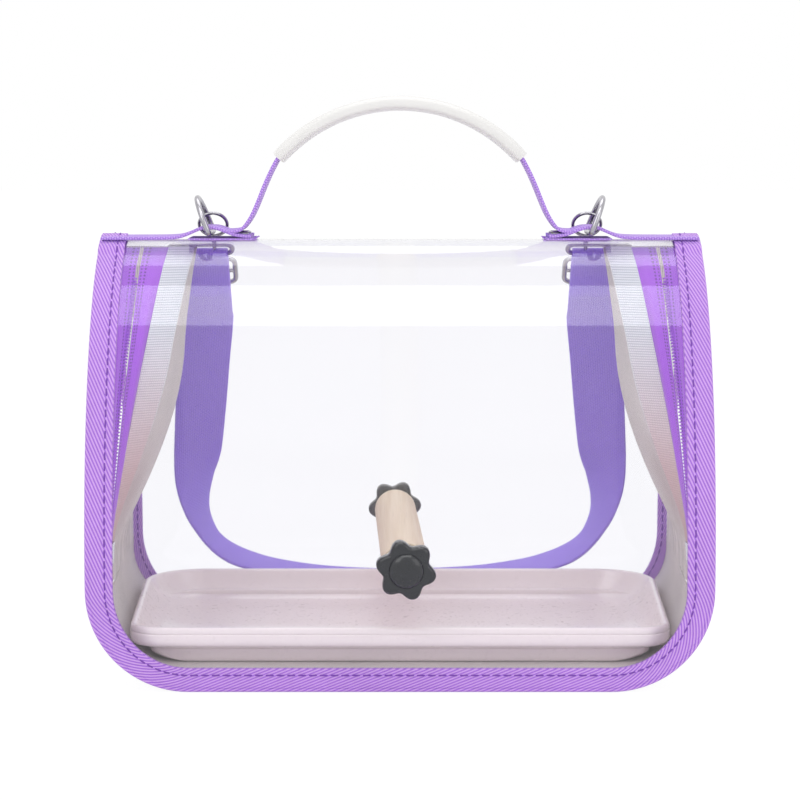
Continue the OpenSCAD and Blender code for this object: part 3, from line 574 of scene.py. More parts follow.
def metal_material(name, colour, rough):
    """Plated wire with faint rubbing marks."""
    m, k, p = material(name)
    if k is None:
        return m
    co = k.object_space()
    n = k.noise(co, 900.0, 3.0, 0.6)
    k.put(p.inputs["Roughness"], k.remap(n, 0.3, 0.8, rough, rough + 0.14))
    worn = k.remap(k.noise(co, 120.0), 0.35, 0.7)
    k.put(p.inputs["Base Color"], k.mix(worn, colour, tuple(c * 0.88 for c in colour)))
    p.inputs["Metallic"].default_value = 1.0
    k.bump(p, n, 0.15, 0.05)
    return m


def plastic_material(name, colour, rough, bump_scale, bump_depth, age=0.03, coat=0.0, strength=0.3):
    """Moulded plastic with a fine grain and a slow change of tone."""
    m, k, p = material(name)
    if k is None:
        return m
    co = k.object_space()
    n = k.noise(co, bump_scale, 2.0)
    k.put(p.inputs["Base Color"], k.drift(colour, 9.0, age))
    k.put(p.inputs["Roughness"], k.remap(n, 0.3, 0.7, rough - 0.04, rough + 0.06))
    p.inputs["Coat Weight"].default_value = coat
    k.bump(p, n, strength, bump_depth)
    return m


def clear_material(name, tint):
    """Soft clear vinyl: plain glass shader, with light let through for shadows and faint ripples in its face."""
    m, k, p = material(name)
    if k is None:
        return m
    p.inputs["Base Color"].default_value = (*tint, 1)
    p.inputs["Roughness"].default_value = 0.03
    p.inputs["IOR"].default_value = 1.42
    p.inputs["Transmission Weight"].default_value = 1.0
    co = k.object_space()
    k.bump(p, k.noise(co, 7.0, 1.0, 0.3), 0.12, 4.0)
    path = k.add("LightPath")
    clear = k.add("BsdfTransparent", {"Color": (0.985, 0.985, 0.99)})
    soft = k.math("MAXIMUM", path.outputs["Is Shadow Ray"], path.outputs["Is Diffuse Ray"])
    mix = k.add("MixShader", {0: soft, 1: p.outputs[0], 2: clear.outputs[0]})
    k.put(k.surface, mix.outputs[0])
    return m


def wood_material(name, light, dark):
    """Bare turned wood: long grain from stretched noise, and small dark pores."""
    m, k, p = material(name)
    if k is None:
        return m
    co = k.object_space()

    def stretched(across, along):
        turn = {"Vector": co, "Rotation": (0, 0, -PERCH_TURN), "Scale": (across, along, across)}
        return k.add("Mapping", turn).outputs[0]

    n = k.noise(stretched(420, 7), 1.0, 4.0, 0.55)
    pores = k.noise(stretched(2200, 60), 1.0, 2.0)
    base = k.mix(k.remap(n, 0.3, 0.75), light, dark)
    base = k.mix(k.remap(pores, 0.62, 0.75, 0, 0.35), base, tuple(c * 0.6 for c in dark))
    k.put(p.inputs["Base Color"], base)
    k.put(p.inputs["Roughness"], k.remap(n, 0.3, 0.7, 0.55, 0.7))
    k.bump(p, pores, 0.35, 0.2)
    return m


# What a user may change


# Each cloth colour has a darker partner for between ribs, yarns or grooves: a shaded copy of it that paints the
# shade in the weave.
COLOURS = {
    "binding": ("Binding", "Twill tape round the panels", (219, 174, 240)),
    "binding_dark": ("Binding, between ribs", "Twill tape in its grooves", (152, 88, 214)),
    "webbing": ("Webbing", "Handle legs and ridge webbing", (204, 166, 240)),
    "webbing_dark": ("Webbing, between yarns", "Handle webbing in its grooves", (134, 80, 206)),
    "strap": ("Strap", "Shoulder strap", (166, 134, 242)),
    "strap_dark": ("Strap, between yarns", "Shoulder strap in its grooves", (138, 104, 226)),
    "zip_tape": ("Zip", "Zip tape and coil", (178, 98, 228)),
    "zip_dark": ("Zip, between ribs", "Zip tape in its grooves", (150, 72, 212)),
    "edge_tape": ("Edge tape", "White ribbed tape", (236, 237, 242)),
    "edge_dark": ("Edge tape, between ribs", "White tape in its grooves", (158, 160, 178)),
    "net": ("Net", "Side and floor mesh", (226, 217, 215)),
    "metal": ("Metal", "Rings, loops and sliders", (178, 176, 182)),
    "grip": ("Grip", "Vinyl sleeve of the handle", (231, 229, 225)),
    "wood_light": ("Wood, light", "Perch between the grain", (241, 222, 198)),
    "wood_dark": ("Wood, dark", "Perch along the grain", (228, 206, 179)),
    "knob": ("Knobs", "Perch knobs", (25, 27, 33)),
    "tray": ("Tray", "Loose tray", (241, 228, 229)),
    "sheet": ("Clear sheet", "Tint of the clear vinyl", (251, 251, 253)),
}


class CarrierColours(bpy.types.PropertyGroup):
    """One colour property for each row of the table."""

    __annotations__ = {
        key: FloatVectorProperty(name=label, description=about, subtype="COLOR", default=srgb(*rgb))
        for key, (label, about, rgb) in COLOURS.items()
    }


class CarrierSizes(bpy.types.PropertyGroup):
    stitch_pitch: FloatProperty(name="Stitch pitch", description="Length of one stitch and its gap, in millimetres",
                                default=4.6, min=2.0, max=8.0)
    stitch_in: FloatProperty(name="Stitch line", description="Distance of the stitches from the bag's edge, in mm",
                             default=8.8, min=7.0, max=11.0)
    coil_pitch: FloatProperty(name="Coil pitch", description="Spacing of the zip coil's turns, in mm", default=1.5,
                              min=1.0, max=3.0)
    lobes: IntProperty(name="Knob lobes", description="Number of lobes on each perch knob", default=6, min=5, max=8)


def colours():
    """The chosen colours as tuples, by name."""
    chosen = bpy.context.scene.carrier_colours
    return SimpleNamespace(**{key: tuple(getattr(chosen, key)) for key in COLOURS})


def sizes():
    return bpy.context.scene.carrier_sizes


# Pieces of the shell


def make_sheet():
    """Front panel, ridge and back panel as one sheet: the arch carried across, narrowed by its round corners.

    Row half width: 134.1 above the corner, and 90.1 + sqrt(43.1^2 - (44 - z)^2) below it.
    """
    p, n = arch_line(BIND_T, 300)
    r = CORNER - BIND_T
    drop = np.clip(CORNER - p[:, 1], 0, r)
    w = HALF_W - BIND_T - r + np.sqrt(np.maximum(r * r - drop * drop, 0))
    v = np.linspace(-1, 1, 61)
    outer = np.empty((len(p), len(v), 3))
    outer[..., 0] = w[:, None] * v
    outer[..., 1:] = p[:, None]
    inner = outer.copy()
    inner[..., 1:] -= SHEET_T * n[:, None]
    vinyl = clear_material("clear vinyl", colours().sheet)
    obj = Shape().shell(outer, inner).piece("clear_sheet_vinyl", vinyl, "bag", ["clear_sheet"], "clear_sheet")


def panel_edge(side):
    """Outer edge of one panel from its left ridge corner round the bottom to the right one.

    Gives points, inward directions and panel normals; side is -1 at the front.
    """
    p, n = arch_line(CORNER, 400)
    half = len(p) // 2
    up, un = (p[:half], n[:half]) if side < 0 else (p[::-1][:half], n[::-1][:half])
    leg = np.stack([np.full(half, -HALF_W), up[:, 0], up[:, 1]], -1)[::-1]
    leg_n = np.stack([np.zeros(half), un[:, 0], un[:, 1]], -1)[::-1]
    leg_in = np.tile([1.0, 0, 0], (half, 1))
    a = np.linspace(math.pi, 1.5 * math.pi, 24)[1:]
    arc_in = -np.stack([np.cos(a), np.zeros_like(a), np.sin(a)], -1)
    arc = np.array([-HALF_W + CORNER, side * HALF_D, CORNER]) - CORNER * arc_in
    flat = np.linspace(-HALF_W + CORNER, 0, 30)[1:]
    base = np.stack([flat, np.full(29, side * HALF_D), np.zeros(29)], -1)
    pts = np.vstack([leg, arc, base])
    inward = np.vstack([leg_in, arc_in, np.tile([0, 0, 1.0], (29, 1))])
    nrm = np.vstack([leg_n, np.tile([0, side, 0.0], (len(arc) + 29, 1))])
    return mirrored(pts), mirrored(inward), mirrored(nrm)


def binding_section():
    """The folded tape's section: distance in from the edge and height over the panel, walked round once."""
    t, s = BIND_T, SHEET_T
    fold = np.linspace(math.pi / 2, 1.5 * math.pi, 9)
    r = (2 * t + s) / 2
    mid = t - r
    outside = np.stack([r * 0.75 + r * 0.75 * np.cos(fold), mid + r * np.sin(fold)], -1)
    outer = np.stack([np.array([BIND_W - 0.2, 9.5, 7.0, 4.5, 3.0, 2.5, 2.2, 1.9, 1.6]), np.full(9, t)], -1)
    inner = np.stack([np.linspace(1.6, BIND_W - 0.2, 7), np.full(7, -s - t)], -1)
    back = np.array([[BIND_W, -s - t + 0.25], [BIND_W, -s - 0.1], [1.2, -s - 0.04], [1.0, 0.04], [BIND_W, 0.1],
                     [BIND_W, t - 0.25]])
    return np.vstack([outer, outside, inner, back])


def make_binding(side, tag):
    """Folded twill tape: its section carried round the panel's edge, with a row of stitches on both leaves.

    Its outer leaf lifts over the ridge webbing's end. Along the ground the tape shows an eighth less of its width,
    and the back one is two thirds as wide.
    """
    pts, inward, nrm = panel_edge(side)
    both = even(np.hstack([pts, inward, nrm]), count=520)
    pts, inward, nrm = both[:, :3], unit(both[:, 3:6]), unit(both[:, 6:])
    sec = binding_section()
    near = (pts[:, 2] > 170) * np.clip((17 - np.abs(pts[:, 1])) / 4, 0, 1)
    lift = 1.75 * near**2 * (3 - 2 * near)
    narrow = (1 if side < 0 else 0.68) - 0.13 * np.clip(inward[:, 2], 0, 1) ** 2
    share = np.clip((sec[:, 1] + 1.7) / 2.2, 0, 1)
    across = sec[None, :, 0] * narrow[:, None] + 0.12
    through = sec[None, :, 1] + lift[:, None] * share
    groove = np.exp(-(((sec[:, 0] - 1.9) / 0.35) ** 2)) * (sec[:, 1] > 0)
    through = through - 0.4 * groove * np.clip((60 - pts[:, 2:]) / 25, 0, 1)
    p = pts[:, None] + across[..., None] * inward[:, None] + through[..., None] * nrm[:, None]
    u, v = run_length(pts), run_length(sec, True)
    s = Shape().grid(p, u, v, close_v=True)
    s.cap(p[0], u[0], v, flip=True)
    s.cap(p[-1], u[-1], v)
    c = colours()
    cloth = cloth_material("binding twill", c.binding, c.binding_dark, twill_group(), depth=0.35,
                           Pitch=1.45, Thread=0.5, Lean=0.45)
    s.piece(tag + "_binding_tape", cloth, "bag", [tag + "_binding"], "purple_twill")
    make_stitches(tag + "_binding_tape_stitches", np.column_stack([pts, inward, nrm, lift, narrow]), u[-1])


def make_stitches(name, marks, length):
    """Stitches on both leaves of a binding, each one a short bowed thread of seven rings.

    A row of marks holds a point, the inward direction, the normal, the leaf's lift and the tape's share of width.
    """
    z = sizes()
    steps = int(length / z.stitch_pitch)
    marks = even(marks, count=steps * 8).reshape(steps, 8, 11)
    mid, inward, up, lift, share = np.split(marks, [3, 6, 9, 10], axis=-1)
    rise = np.array([-0.25, 0.05, 0.15, 0.18, 0.15, 0.05, -0.25, -0.5])[None, :, None]
    ring = 0.34 * polar(around(6))[None, None]
    t = Shape()
    for level, sign in ((BIND_T, 1), (-SHEET_T - BIND_T, -1)):
        over = level + sign * rise + (lift if sign > 0 else 0)
        centre = mid + z.stitch_in * share * inward + over * up
        round_it = ring[..., :1] * inward[:, :, None] + ring[..., 1:] * up[:, :, None]
        for row in (centre[:, :, None] + round_it)[:, :7]:
            t.grid(row, close_v=True)
            t.cap(row[0])
            t.cap(row[-1], flip=True)
    colour = tuple(x * 0.62 for x in colours().binding_dark)
    thread = plastic_material("sewing thread", colour, 0.7, 3000.0, 0.02)
    t.piece(name, thread, "bag", slot="purple_twill", merge=0.0005)


def outline_u(r, half, top, low, count):
    """A U in x and z: down one side, round the corner of radius r, along the bottom and up the other side."""
    arc = polar(np.linspace(0, math.pi / 2, 18), r) * [1, -1] + [half - r, low + r]
    return even(mirrored(np.vstack([[[half, top]], arc, [[0, low]]])), count)


def make_floor():
    """Mesh floor: a U-shaped line carried from panel to panel, wider at the back, on the gussets' lower ends."""
    foot = gusset_section(np.array([FLOOR_TOP]))[0]
    y = np.linspace(-half_in(20), half_in(20), 41)
    keep = [0, 3, 4, 5, 6, 7, 8]
    half = np.interp(y, foot[keep, 1], foot[keep, 0]) + 0.45
    n = 181
    wide = outline_u(FLOOR_R, 130.0, FLOOR_TOP, FLOOR_Z, n)
    thin = outline_u(FLOOR_R - 0.9, 129.1, FLOOR_TOP, FLOOR_Z + 0.9, n)

    def spread(line):
        p = np.empty((n, len(y), 3))
        p[..., 0] = line[:, :1] + np.sign(line[:, :1]) * np.clip(np.abs(line[:, :1]) / 100, 0, 1) * (half - 130)
        p[..., 1] = y
        p[..., 2] = line[:, 1:]
        return p

    cloth = net_material("floor net", colours().net, 1.35, 1.3, 0.25, depth=0.5)
    s = Shape().shell(spread(wide), spread(thin), run_length(wide), y)
    net = s.piece("floor_net", cloth, "bag", ["floor_mesh"], "mesh")


def gusset_section(z):
    """Level sections of the right gusset at heights z: nine points from front seam to back seam, and the coil.

    The mesh folds in by FOLD_IN sin(90 t), with t the share of the way from 55 to 150 mm, and by 5 mm more above.
    """
    z = np.asarray(z, float)
    h = (z - ZIP_ZC) / math.cos(ZIP_LEAN)
    clamp = lambda v: np.clip(v, 0, 1)
    drawn = clamp((z - 150) / 38)
    fold = FOLD_IN * np.sin(math.pi / 2 * clamp((z - FOLD_FOOT) / 95)) + 5 * drawn
    w0 = 0.73 * FOLD_IN * clamp((z - 68) / (RIDGE - 68))
    turn = np.sin(math.pi / 2 * clamp((z - FOLD_FOOT) / 105))
    w1 = np.maximum(w0, 0.85 * FOLD_IN * turn**1.5 + 7 * drawn)
    hd = half_in(z)
    front = np.stack([np.full_like(z, SEAM_X), 0.35 - hd], -1)
    cy = np.maximum(ZIP_YC - np.sqrt(ZIP_R**2 - h * h), 4.5 - hd)
    coil = np.stack([SEAM_X - math.tan(ZIP_LEAN) * (z - ZIP_Z0), cy], -1)
    ty = np.maximum(cy + 0.5, -hd + np.sqrt(np.maximum(0, ZIP_W**2 - w0 * w0)))
    tape0 = np.stack([SEAM_X - w0, ty], -1)
    tape1 = np.stack([SEAM_X - w1, ty + np.sqrt(np.maximum(1, 144 - (w1 - w0) ** 2))], -1)
    mid_y = np.maximum(0, tape1[:, 1] + 1)
    mid = np.stack([(SEAM_X + BACK_SEAM_X) / 2 - fold, mid_y], -1)
    rear_y = np.maximum(mid_y + 0.5, 0.55 * hd)
    rear = np.stack([BACK_SEAM_X - 1.375 - 0.72 * fold, rear_y], -1)
    low_y = np.maximum(rear_y + 0.5, 0.88 * hd)
    low = np.stack([BACK_SEAM_X - 0.344 - 0.3 * fold, low_y], -1)
    back = np.stack([np.full_like(z, BACK_SEAM_X), np.minimum(hd - 0.1, np.maximum(low_y + 0.1, hd - 0.45))], -1)
    edge = (3.1 / np.cos(np.arcsin((z - ZIP_ZC) / ZIP_R)))[:, None]
    return np.stack([front, coil + edge * unit(front - coil), coil + edge * unit(tape0 - coil), tape0, tape1, mid,
                     rear, low, back, coil], 1)


ROWS, CAD_ROWS = (np.linspace(FLOOR_TOP, 187, count) for count in (59, 19))
ZIP_UNDER = 0.95


def cad_rows():
    """The gusset's sections at the solids' own nineteen heights, with straight runs between them."""
    sec = gusset_section(CAD_ROWS).reshape(len(CAD_ROWS), -1)
    return np.stack([np.interp(ROWS, CAD_ROWS, column) for column in sec.T], -1).reshape(len(ROWS), 10, 2)


def strip(shape, p, side, t, v=None, pleat=None):
    """A sheet of thickness t over points p[i, j] = x, y at the gusset's rows; v is the UV across, in mm.

    pleat[i, j] moves a point off the sheet.
    """
    m, n = p.shape[:2]
    q = np.concatenate([p, np.broadcast_to(ROWS[:, None, None], (m, n, 1))], -1)
    nrm = unit(np.cross(np.gradient(q, axis=1), np.gradient(q, axis=0)))
    if pleat is not None:
        q = q + nrm * pleat[..., None]
    a, b = q + nrm * t / 2, q - nrm * t / 2
    flip = np.array([side, 1.0, 1.0])
    v = run_length(q[m // 3]) if v is None else v
    shape.shell(a * flip, b * flip, ROWS, v)
    return shape


def zip_half(sec, far):
    """Half of a zip's tape: from its far edge to beside the coil, on the cabin side of it.

    Gives the tape's columns and their distance from the coil's middle. They stop 1.1 mm short of it, which leaves
    a slot for the slider's post.
    """
    coil, edge, root = sec[:, 9], sec[:, 1 if far == 0 else 2], sec[:, far]
    d = unit(root - coil)
    inner = np.stack([-np.abs(d[:, 1]), np.sign(d[:, 1]) * d[:, 0]], -1)
    cols = [root, (root + edge) / 2 + 1.5 * inner, edge + 0.5 * inner]
    cols += [coil + off * d + ZIP_UNDER * inner for off in (2.4, 1.1)]
    dist = np.array([-9.0 if far == 0 else 14.0, 6.5, 3.6, 2.4, 1.1]) * (1 if far else [1, -1, -1, -1, -1])
    per = 5
    fine = spline(np.stack(cols), per)
    v = np.interp(np.arange(len(fine)) / per, np.arange(5), dist)
    fine, v = (fine, v) if far == 0 else (fine[::-1], v[::-1])
    return np.moveaxis(fine, 0, 1), v


def make_gusset(side, tag):
    """Zip tapes, white tape and mesh of one side, from the shared sections."""
    c = colours()
    sec = cad_rows()
    sec[:, 3:5, 0] += 1.3 * np.clip((95 - ROWS) / 30, 0, 1)[:, None]

    def cols(j0, j1, per):
        return np.moveaxis(spline(np.moveaxis(sec[:, j0 : j1 + 1], 1, 0), per), 0, 1)

    zip_cloth = cloth_material("zip tape", c.zip_tape, c.zip_dark, webbing_group(), depth=0.12, rough=0.7,
                               marks=zip_stitch_group(), Yarn=0.65, Pick=0.9)
    white = cloth_material("ribbed tape", c.edge_tape, c.edge_dark, webbing_group(), depth=0.4, sheen=0.1, swap=True,
                           rose_tint_and_shade=(srgb(222, 178, 176), 22.0), Yarn=1.05, Pick=0.9)
    tape = Shape()
    for far in (0, 3):
        p, v = zip_half(sec, far)
        strip(tape, p, side, 0.4, v)
    tape.piece(tag + "_zip_tape_cloth", zip_cloth, "bag", [tag + "_zip_tape"], "purple_zip")
    edge = strip(Shape(), cols(3, 4, 12), side, 1.0)
    edge.piece(tag + "_edge_tape_cloth", white, "bag", [tag + "_edge_tape"], "white_tape")
    p = cols(4, 8, 20)
    across = np.array([run_length(row) for row in p])
    hem = across[len(p) // 3, -1] - 4.5
    net = net_material("side net", c.net, 1.3, 1.1, 0.35, hem=hem)
    pleat = 0.4 * np.sin(2 * math.pi * across / 5.2) * np.clip((72 - ROWS) / 20, 0, 1)[:, None]
    pleat = pleat * np.clip((hem - 2 - across) / 4, 0, 1) * np.clip(across / 4, 0, 1)
    cloth = strip(Shape(), p, side, 0.9, pleat=pleat).piece(
        tag + "_side_net", net, "bag", [tag + "_side_mesh"], "mesh")
    make_coil(side, tag)


def zip_frame(side):
    """Origin and three directions of the plane in which the zip curves."""
    ca, sa = math.cos(ZIP_LEAN), math.sin(ZIP_LEAN)
    o = np.array([SEAM_X + sa * (ZIP_Z0 - ZIP_ZC), ZIP_YC, ZIP_Z0 - ca * (ZIP_Z0 - ZIP_ZC)])
    flip = np.array([side, 1.0, 1.0])
    return o * flip, np.array([0, -1.0, 0]), np.array([-sa, 0, ca]) * flip, np.array([-ca, 0, -sa]) * flip


def make_coil(side, tag):
    """Two rows of coil: each a thin wire wound along the zip's arc, half a turn apart."""
    o, ex, ey, ez = zip_frame(side)
    a0, a1 = math.asin(-4 / ZIP_R), math.asin(124 / ZIP_R)
    turns = int(ZIP_R * (a1 - a0) / sizes().coil_pitch)
    s = Shape()
    t = np.arange(turns * 10 + 1) / 10
    for k in (-1, 1):
        a = a0 + (a1 - a0) * t / turns
        ph = TAU * (t + (0.5 if k > 0 else 0))
        rad = ZIP_R + k * 1.6 + 1.0 * np.cos(ph)
        path = (o + (rad * np.cos(a))[:, None] * ex + (rad * np.sin(a))[:, None] * ey
                + (0.62 * np.sin(ph))[:, None] * ez)
        d = tangents(path)
        along = -np.sin(a)[:, None] * ex + np.cos(a)[:, None] * ey
        side_v = unit(np.cross(d, along))
        sweep(s, path, side_v, unit(np.cross(side_v, d)), round_section(0.3, 5))
    coil = plastic_material("zip coil", colours().zip_tape, 0.35, 900.0, 0.02)
    s.piece(tag + "_zip_coil_turns", coil, "bag", [tag + "_zip_coil"], "purple_zip", merge=0.0005)


# Ridge, handle and rings


def webbing_cloth(name, colour, dark, **sizes):
    """Webbing with ribs across its length, or along it where sizes are given."""
    sizes = sizes or {"swap": True, "Yarn": 1.15, "Pick": 1.3}
    return cloth_material(name, colour, dark, webbing_group(), depth=0.35, **sizes)


def frame_xz(path):
    """A line of x, z points in space at y 0, the direction up from it and the one across it."""
    mid = np.stack([path[:, 0], np.zeros(len(path)), path[:, 1]], -1)
    d = tangents(mid)
    up = unit(np.cross(d, np.broadcast_to([0, 1.0, 0], d.shape)))
    up = up * np.sign(up[:, 2:3] + 1e-6)
    return mid, up, np.cross(up, d)


def band_xz(path, w, t, lift=0.0):
    """Webbing along a path of x, z points, with its width along y; lift moves its middle off the path."""
    mid, up, side = frame_xz(path)
    return sweep(Shape(), mid + lift * up, side, up, flat_section(w, t))


def make_ridge(side, tag):
    """Webbing over the D-ring's bar, the shorter layer under it with its raw end, and the hollow rivet."""
    c = colours()
    web = webbing_cloth("webbing", c.webbing, c.webbing_dark)
    zs = np.array(RIDGE_WEB_RISE) + KEEPER_Z
    zs[6:9] += BAR_Z + RING_WIRE + 0.3 - KEEPER_Z - 4.6
    path = even(spline(np.stack([RIDGE_WEB_X, zs], -1), 8), step=0.8)
    path[:, 0] *= -side
    if side > 0:
        path = path[::-1]
    upper = band_xz(path, WEB_W, WEB_T, WEB_T / 2)
    upper.piece(tag + "_ridge_web", web, "bag", [tag + "_ridge_webbing"], "purple_webbing").visible_glossy = False
    low = even(np.array([[94.8, KEEPER_Z], [RIVET_X - 5, KEEPER_Z]]) * [side, 1], step=1.5)
    if side > 0:
        low = low[::-1]
    s = band_xz(low, WEB_W, 0.7, 0.35)
    fray = np.random.default_rng(7 + side)
    n = 34
    y = np.linspace(-11.8, 11.8, n) + fray.normal(0, 0.12, n)
    reach = fray.uniform(0.6, 1.9, n)
    bend = fray.normal(0, 0.35, (n, 2))
    f = np.linspace(0, 1, 4)
    x0 = side * (RIVET_X - 5 + 0.3)
    threads = np.stack([x0 - side * f[None] * reach[:, None], y[:, None] + bend[:, :1] * f**2,
                        KEEPER_Z + 0.4 + np.abs(bend[:, 1:]) * f**2], -1)
    for line in threads:
        d = tangents(line)
        up = np.broadcast_to([0, 0, 1.0], d.shape)
        sweep(s, line, unit(np.cross(d, up)), up, round_section(0.16, 5))
    s.piece(tag + "_keeper_web", web, "bag", [tag + "_ring_keeper"], "purple_webbing")
    top = KEEPER_Z + 2 * WEB_T
    prof = np.array([[1.62, RIDGE + 0.3], [2.2, RIDGE + 0.3], [2.2, top], [3.3, top], [3.6, top + 0.25],
                     [3.3, top + 0.7], [2.6, top + 0.9], [1.9, top + 0.7], [1.62, top + 0.3]])
    ring = Shape().grid(turned(prof, 40) + [side * RIVET_X, 0, 0], close_u=True, close_v=True)
    ring.piece(tag + "_rivet_ring", metal(), "bag", [tag + "_rivet"], "steel")


def metal():
    """The finish of all plated wire and small metal parts."""
    return metal_material("plated wire", colours().metal, 0.16)


def grip_arc(n):
    """Centre line of the grip: a circular arc in x and z."""
    half, sag, top = 54.5, 24.3, RIDGE + 60.9
    r = (half * half + sag * sag) / (2 * sag)
    a = math.asin(half / r) * np.linspace(-1, 1, n)
    return np.stack([r * np.sin(a), top - r * (1 - np.cos(a))], -1)


def handle_line():
    """The whole handle: a foot on the ridge, a bowed leg, the grip's arc, and the same mirrored."""
    arc = grip_arc(41)
    foot = np.array([-RIVET_X - 0.5, RIDGE + 0.1 + 2 * WEB_T + 0.9 + 0.8])
    head = arc[0]
    span = head - foot
    ctrl = np.array([foot, foot + span * [0.42, 0.19], foot + span * [0.48, 0.55], head])
    t = np.linspace(0, 1, 25)[:-1, None]
    leg = ((1 - t) ** 3 * ctrl[0] + 3 * t * (1 - t) ** 2 * ctrl[1] + 3 * t**2 * (1 - t) * ctrl[2] + t**3 * ctrl[3])
    base = np.array([[-78.0, RIDGE + 3.7], [-75.0, RIDGE + 3.75], [-73.2, RIDGE + 3.95]])
    leg = np.vstack([base, leg])
    return np.vstack([leg, arc, (leg * [-1, 1])[::-1]])


def make_handle():
    """Webbing arch whose feet stay on the bag, and the vinyl sleeve round it."""
    c = colours()
    line = even(spline(even(handle_line(), 60), 6), step=0.9)
    web = webbing_cloth("webbing", c.webbing, c.webbing_dark)
    obj = band_xz(line, WEB_W, WEB_T).piece("handle_web", web, None, ["handle_webbing"], "purple_webbing")
    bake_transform(obj)
    mid, up, side = frame_xz(grip_arc(90))
    outer = sleeve_section(28.0, 6.6, 64)
    hole = even(flat_section(WEB_W + 0.4, WEB_T + 0.4, across=25), 64, closed=True)
    k = np.argmin(np.abs(np.arctan2(hole[:, 1], hole[:, 0]) - math.atan2(outer[0, 1], outer[0, 0])))
    hole = np.roll(hole, -k, 0)
    shrink = 1 - 0.06 * np.abs(np.linspace(-1, 1, 90)) ** 24

    def carry(sec, scale):
        return mid[:, None] + sec[None, :, :1] * side[:, None] * scale + sec[None, :, 1:] * up[:, None] * scale

    ring = np.concatenate([carry(outer, shrink[:, None, None]), carry(hole, 1.0)[::-1]], 0)
    u = np.concatenate([run_length(mid), run_length(mid)[::-1], [0]])
    s = Shape().grid(ring, u, run_length(outer, True), close_u=True, close_v=True)
    vinyl = plastic_material("grip vinyl", c.grip, 0.42, 420.0, 0.25, 0.03, 0.1, 0.35)
    s.piece("grip_sleeve_vinyl", vinyl, "handle", ["grip_sleeve"], "grip")


def sleeve_section(w, t, n):
    """Flattened oval: a superellipse w wide and t thick."""
    c, s = polar(around(n)).T
    return np.stack([w / 2 * np.sign(c) * np.abs(c) ** 0.42, t / 2 * np.sign(s) * np.abs(s) ** 0.62], -1)


def make_d_ring(side, tag):
    """D-ring: a half circle over a flat bar with rounded corners, leaning outwards."""
    flip = np.array([side, 1.0, 1.0])
    leg, corner, lean = 2.2, 1.8, math.radians(21)
    arc = polar(np.linspace(0, math.pi, 40), RING_HALF) + [0, leg]
    bend = polar(np.linspace(math.pi, 1.5 * math.pi, 7), corner) + [corner - RING_HALF, corner]
    flat = even(np.vstack([arc, bend, (bend * [-1, 1])[::-1]]), 150, closed=True)
    up = np.array([math.sin(lean), 0, math.cos(lean)]) * flip
    path = place(flat, np.array([RING_X, 0, BAR_Z]) * flip, [0, 1, 0], up)
    ring = wire(Shape(), path, RING_WIRE, np.cross([0, 1, 0], up), n=16)
    ring.piece(tag + "_d_ring_wire", metal(), tag + "_ring", [tag + "_d_ring"], "steel")


def make_link(side, tag):
    """Link: a small ring through the D-ring, a barrel and the eye that holds the strap's loop."""
    flip = np.array([side, 1.0, 1.0])
    tilt = math.radians(35)
    d = np.array([0, math.sin(tilt), -math.cos(tilt)])
    circle = polar(around(48))
    s = Shape()
    wire(s, place(circle * 6.4, LINK * flip, [1, 0, 0], d), 0.8, np.cross([1, 0, 0], d))
    wire(s, place(circle * 2.3, EYE * flip, [0, 1, 0], [0, 0, 1]), 0.8, [1, 0, 0])
    neck = LINK + 6.4 * d
    barrel = EYE - neck
    length = np.linalg.norm(barrel) - 2.0
    f = np.array([0, 0.08, 0.2, 0.45, 0.55, 0.8, 0.92, 1.0])
    r = np.array([0.5, 1.0, 1.15, 1.15, 0.95, 1.15, 1.0, 0.5])
    line = (neck + unit(barrel) * (f * length)[:, None]) * flip
    across = np.broadcast_to([1.0, 0, 0], line.shape)
    sweep(s, line, across, np.cross(tangents(line), across), round_section(1.0, 20), scale=r)
    s.piece(tag + "_link_wire", metal(), "bag", [tag + "_link"], "steel")


def make_strap_wires(side, tag):
    """The strap's end loop and its slider, a frame with a bar across its middle."""
    flip = np.array([side, 1.0, 1.0])
    o = np.array([STRAP_X, EYE[1], EYE[2]]) + LOOP_H / 2 * RUN
    loop = place(ring_path(WEB_W + 4, LOOP_H, LOOP_H / 2 - 0.05, 0.5), o * flip, [1, 0, 0], RUN)
    loop = wire(Shape(), loop, 1.2, RUN_OUT, n=14)
    loop.piece(tag + "_loop_wire", metal(), "strap", [tag + "_strap_loop"], "steel")
    o = BAR + SLIDER_AT * RUN + (WEB_T / 2 + 0.3 + 1.2) * RUN_OUT
    s = wire(Shape(), place(ring_path(WEB_W + 5, 15, 3, 0.6), o * flip, [1, 0, 0], RUN), 1.2, RUN_OUT, n=14)
    bar = o + np.linspace(-15, 15, 9)[:, None] * [1, 0, 0]
    wire(s, bar * flip, 1.08, RUN_OUT, closed=False, n=14)
    s.piece(tag + "_slider_wire", metal(), tag + "_strap_slider", [tag + "_strap_slider"], "steel")


def make_rings(side, tag):
    """All bent wire of one side."""
    make_d_ring(side, tag)
    make_link(side, tag)
    make_strap_wires(side, tag)


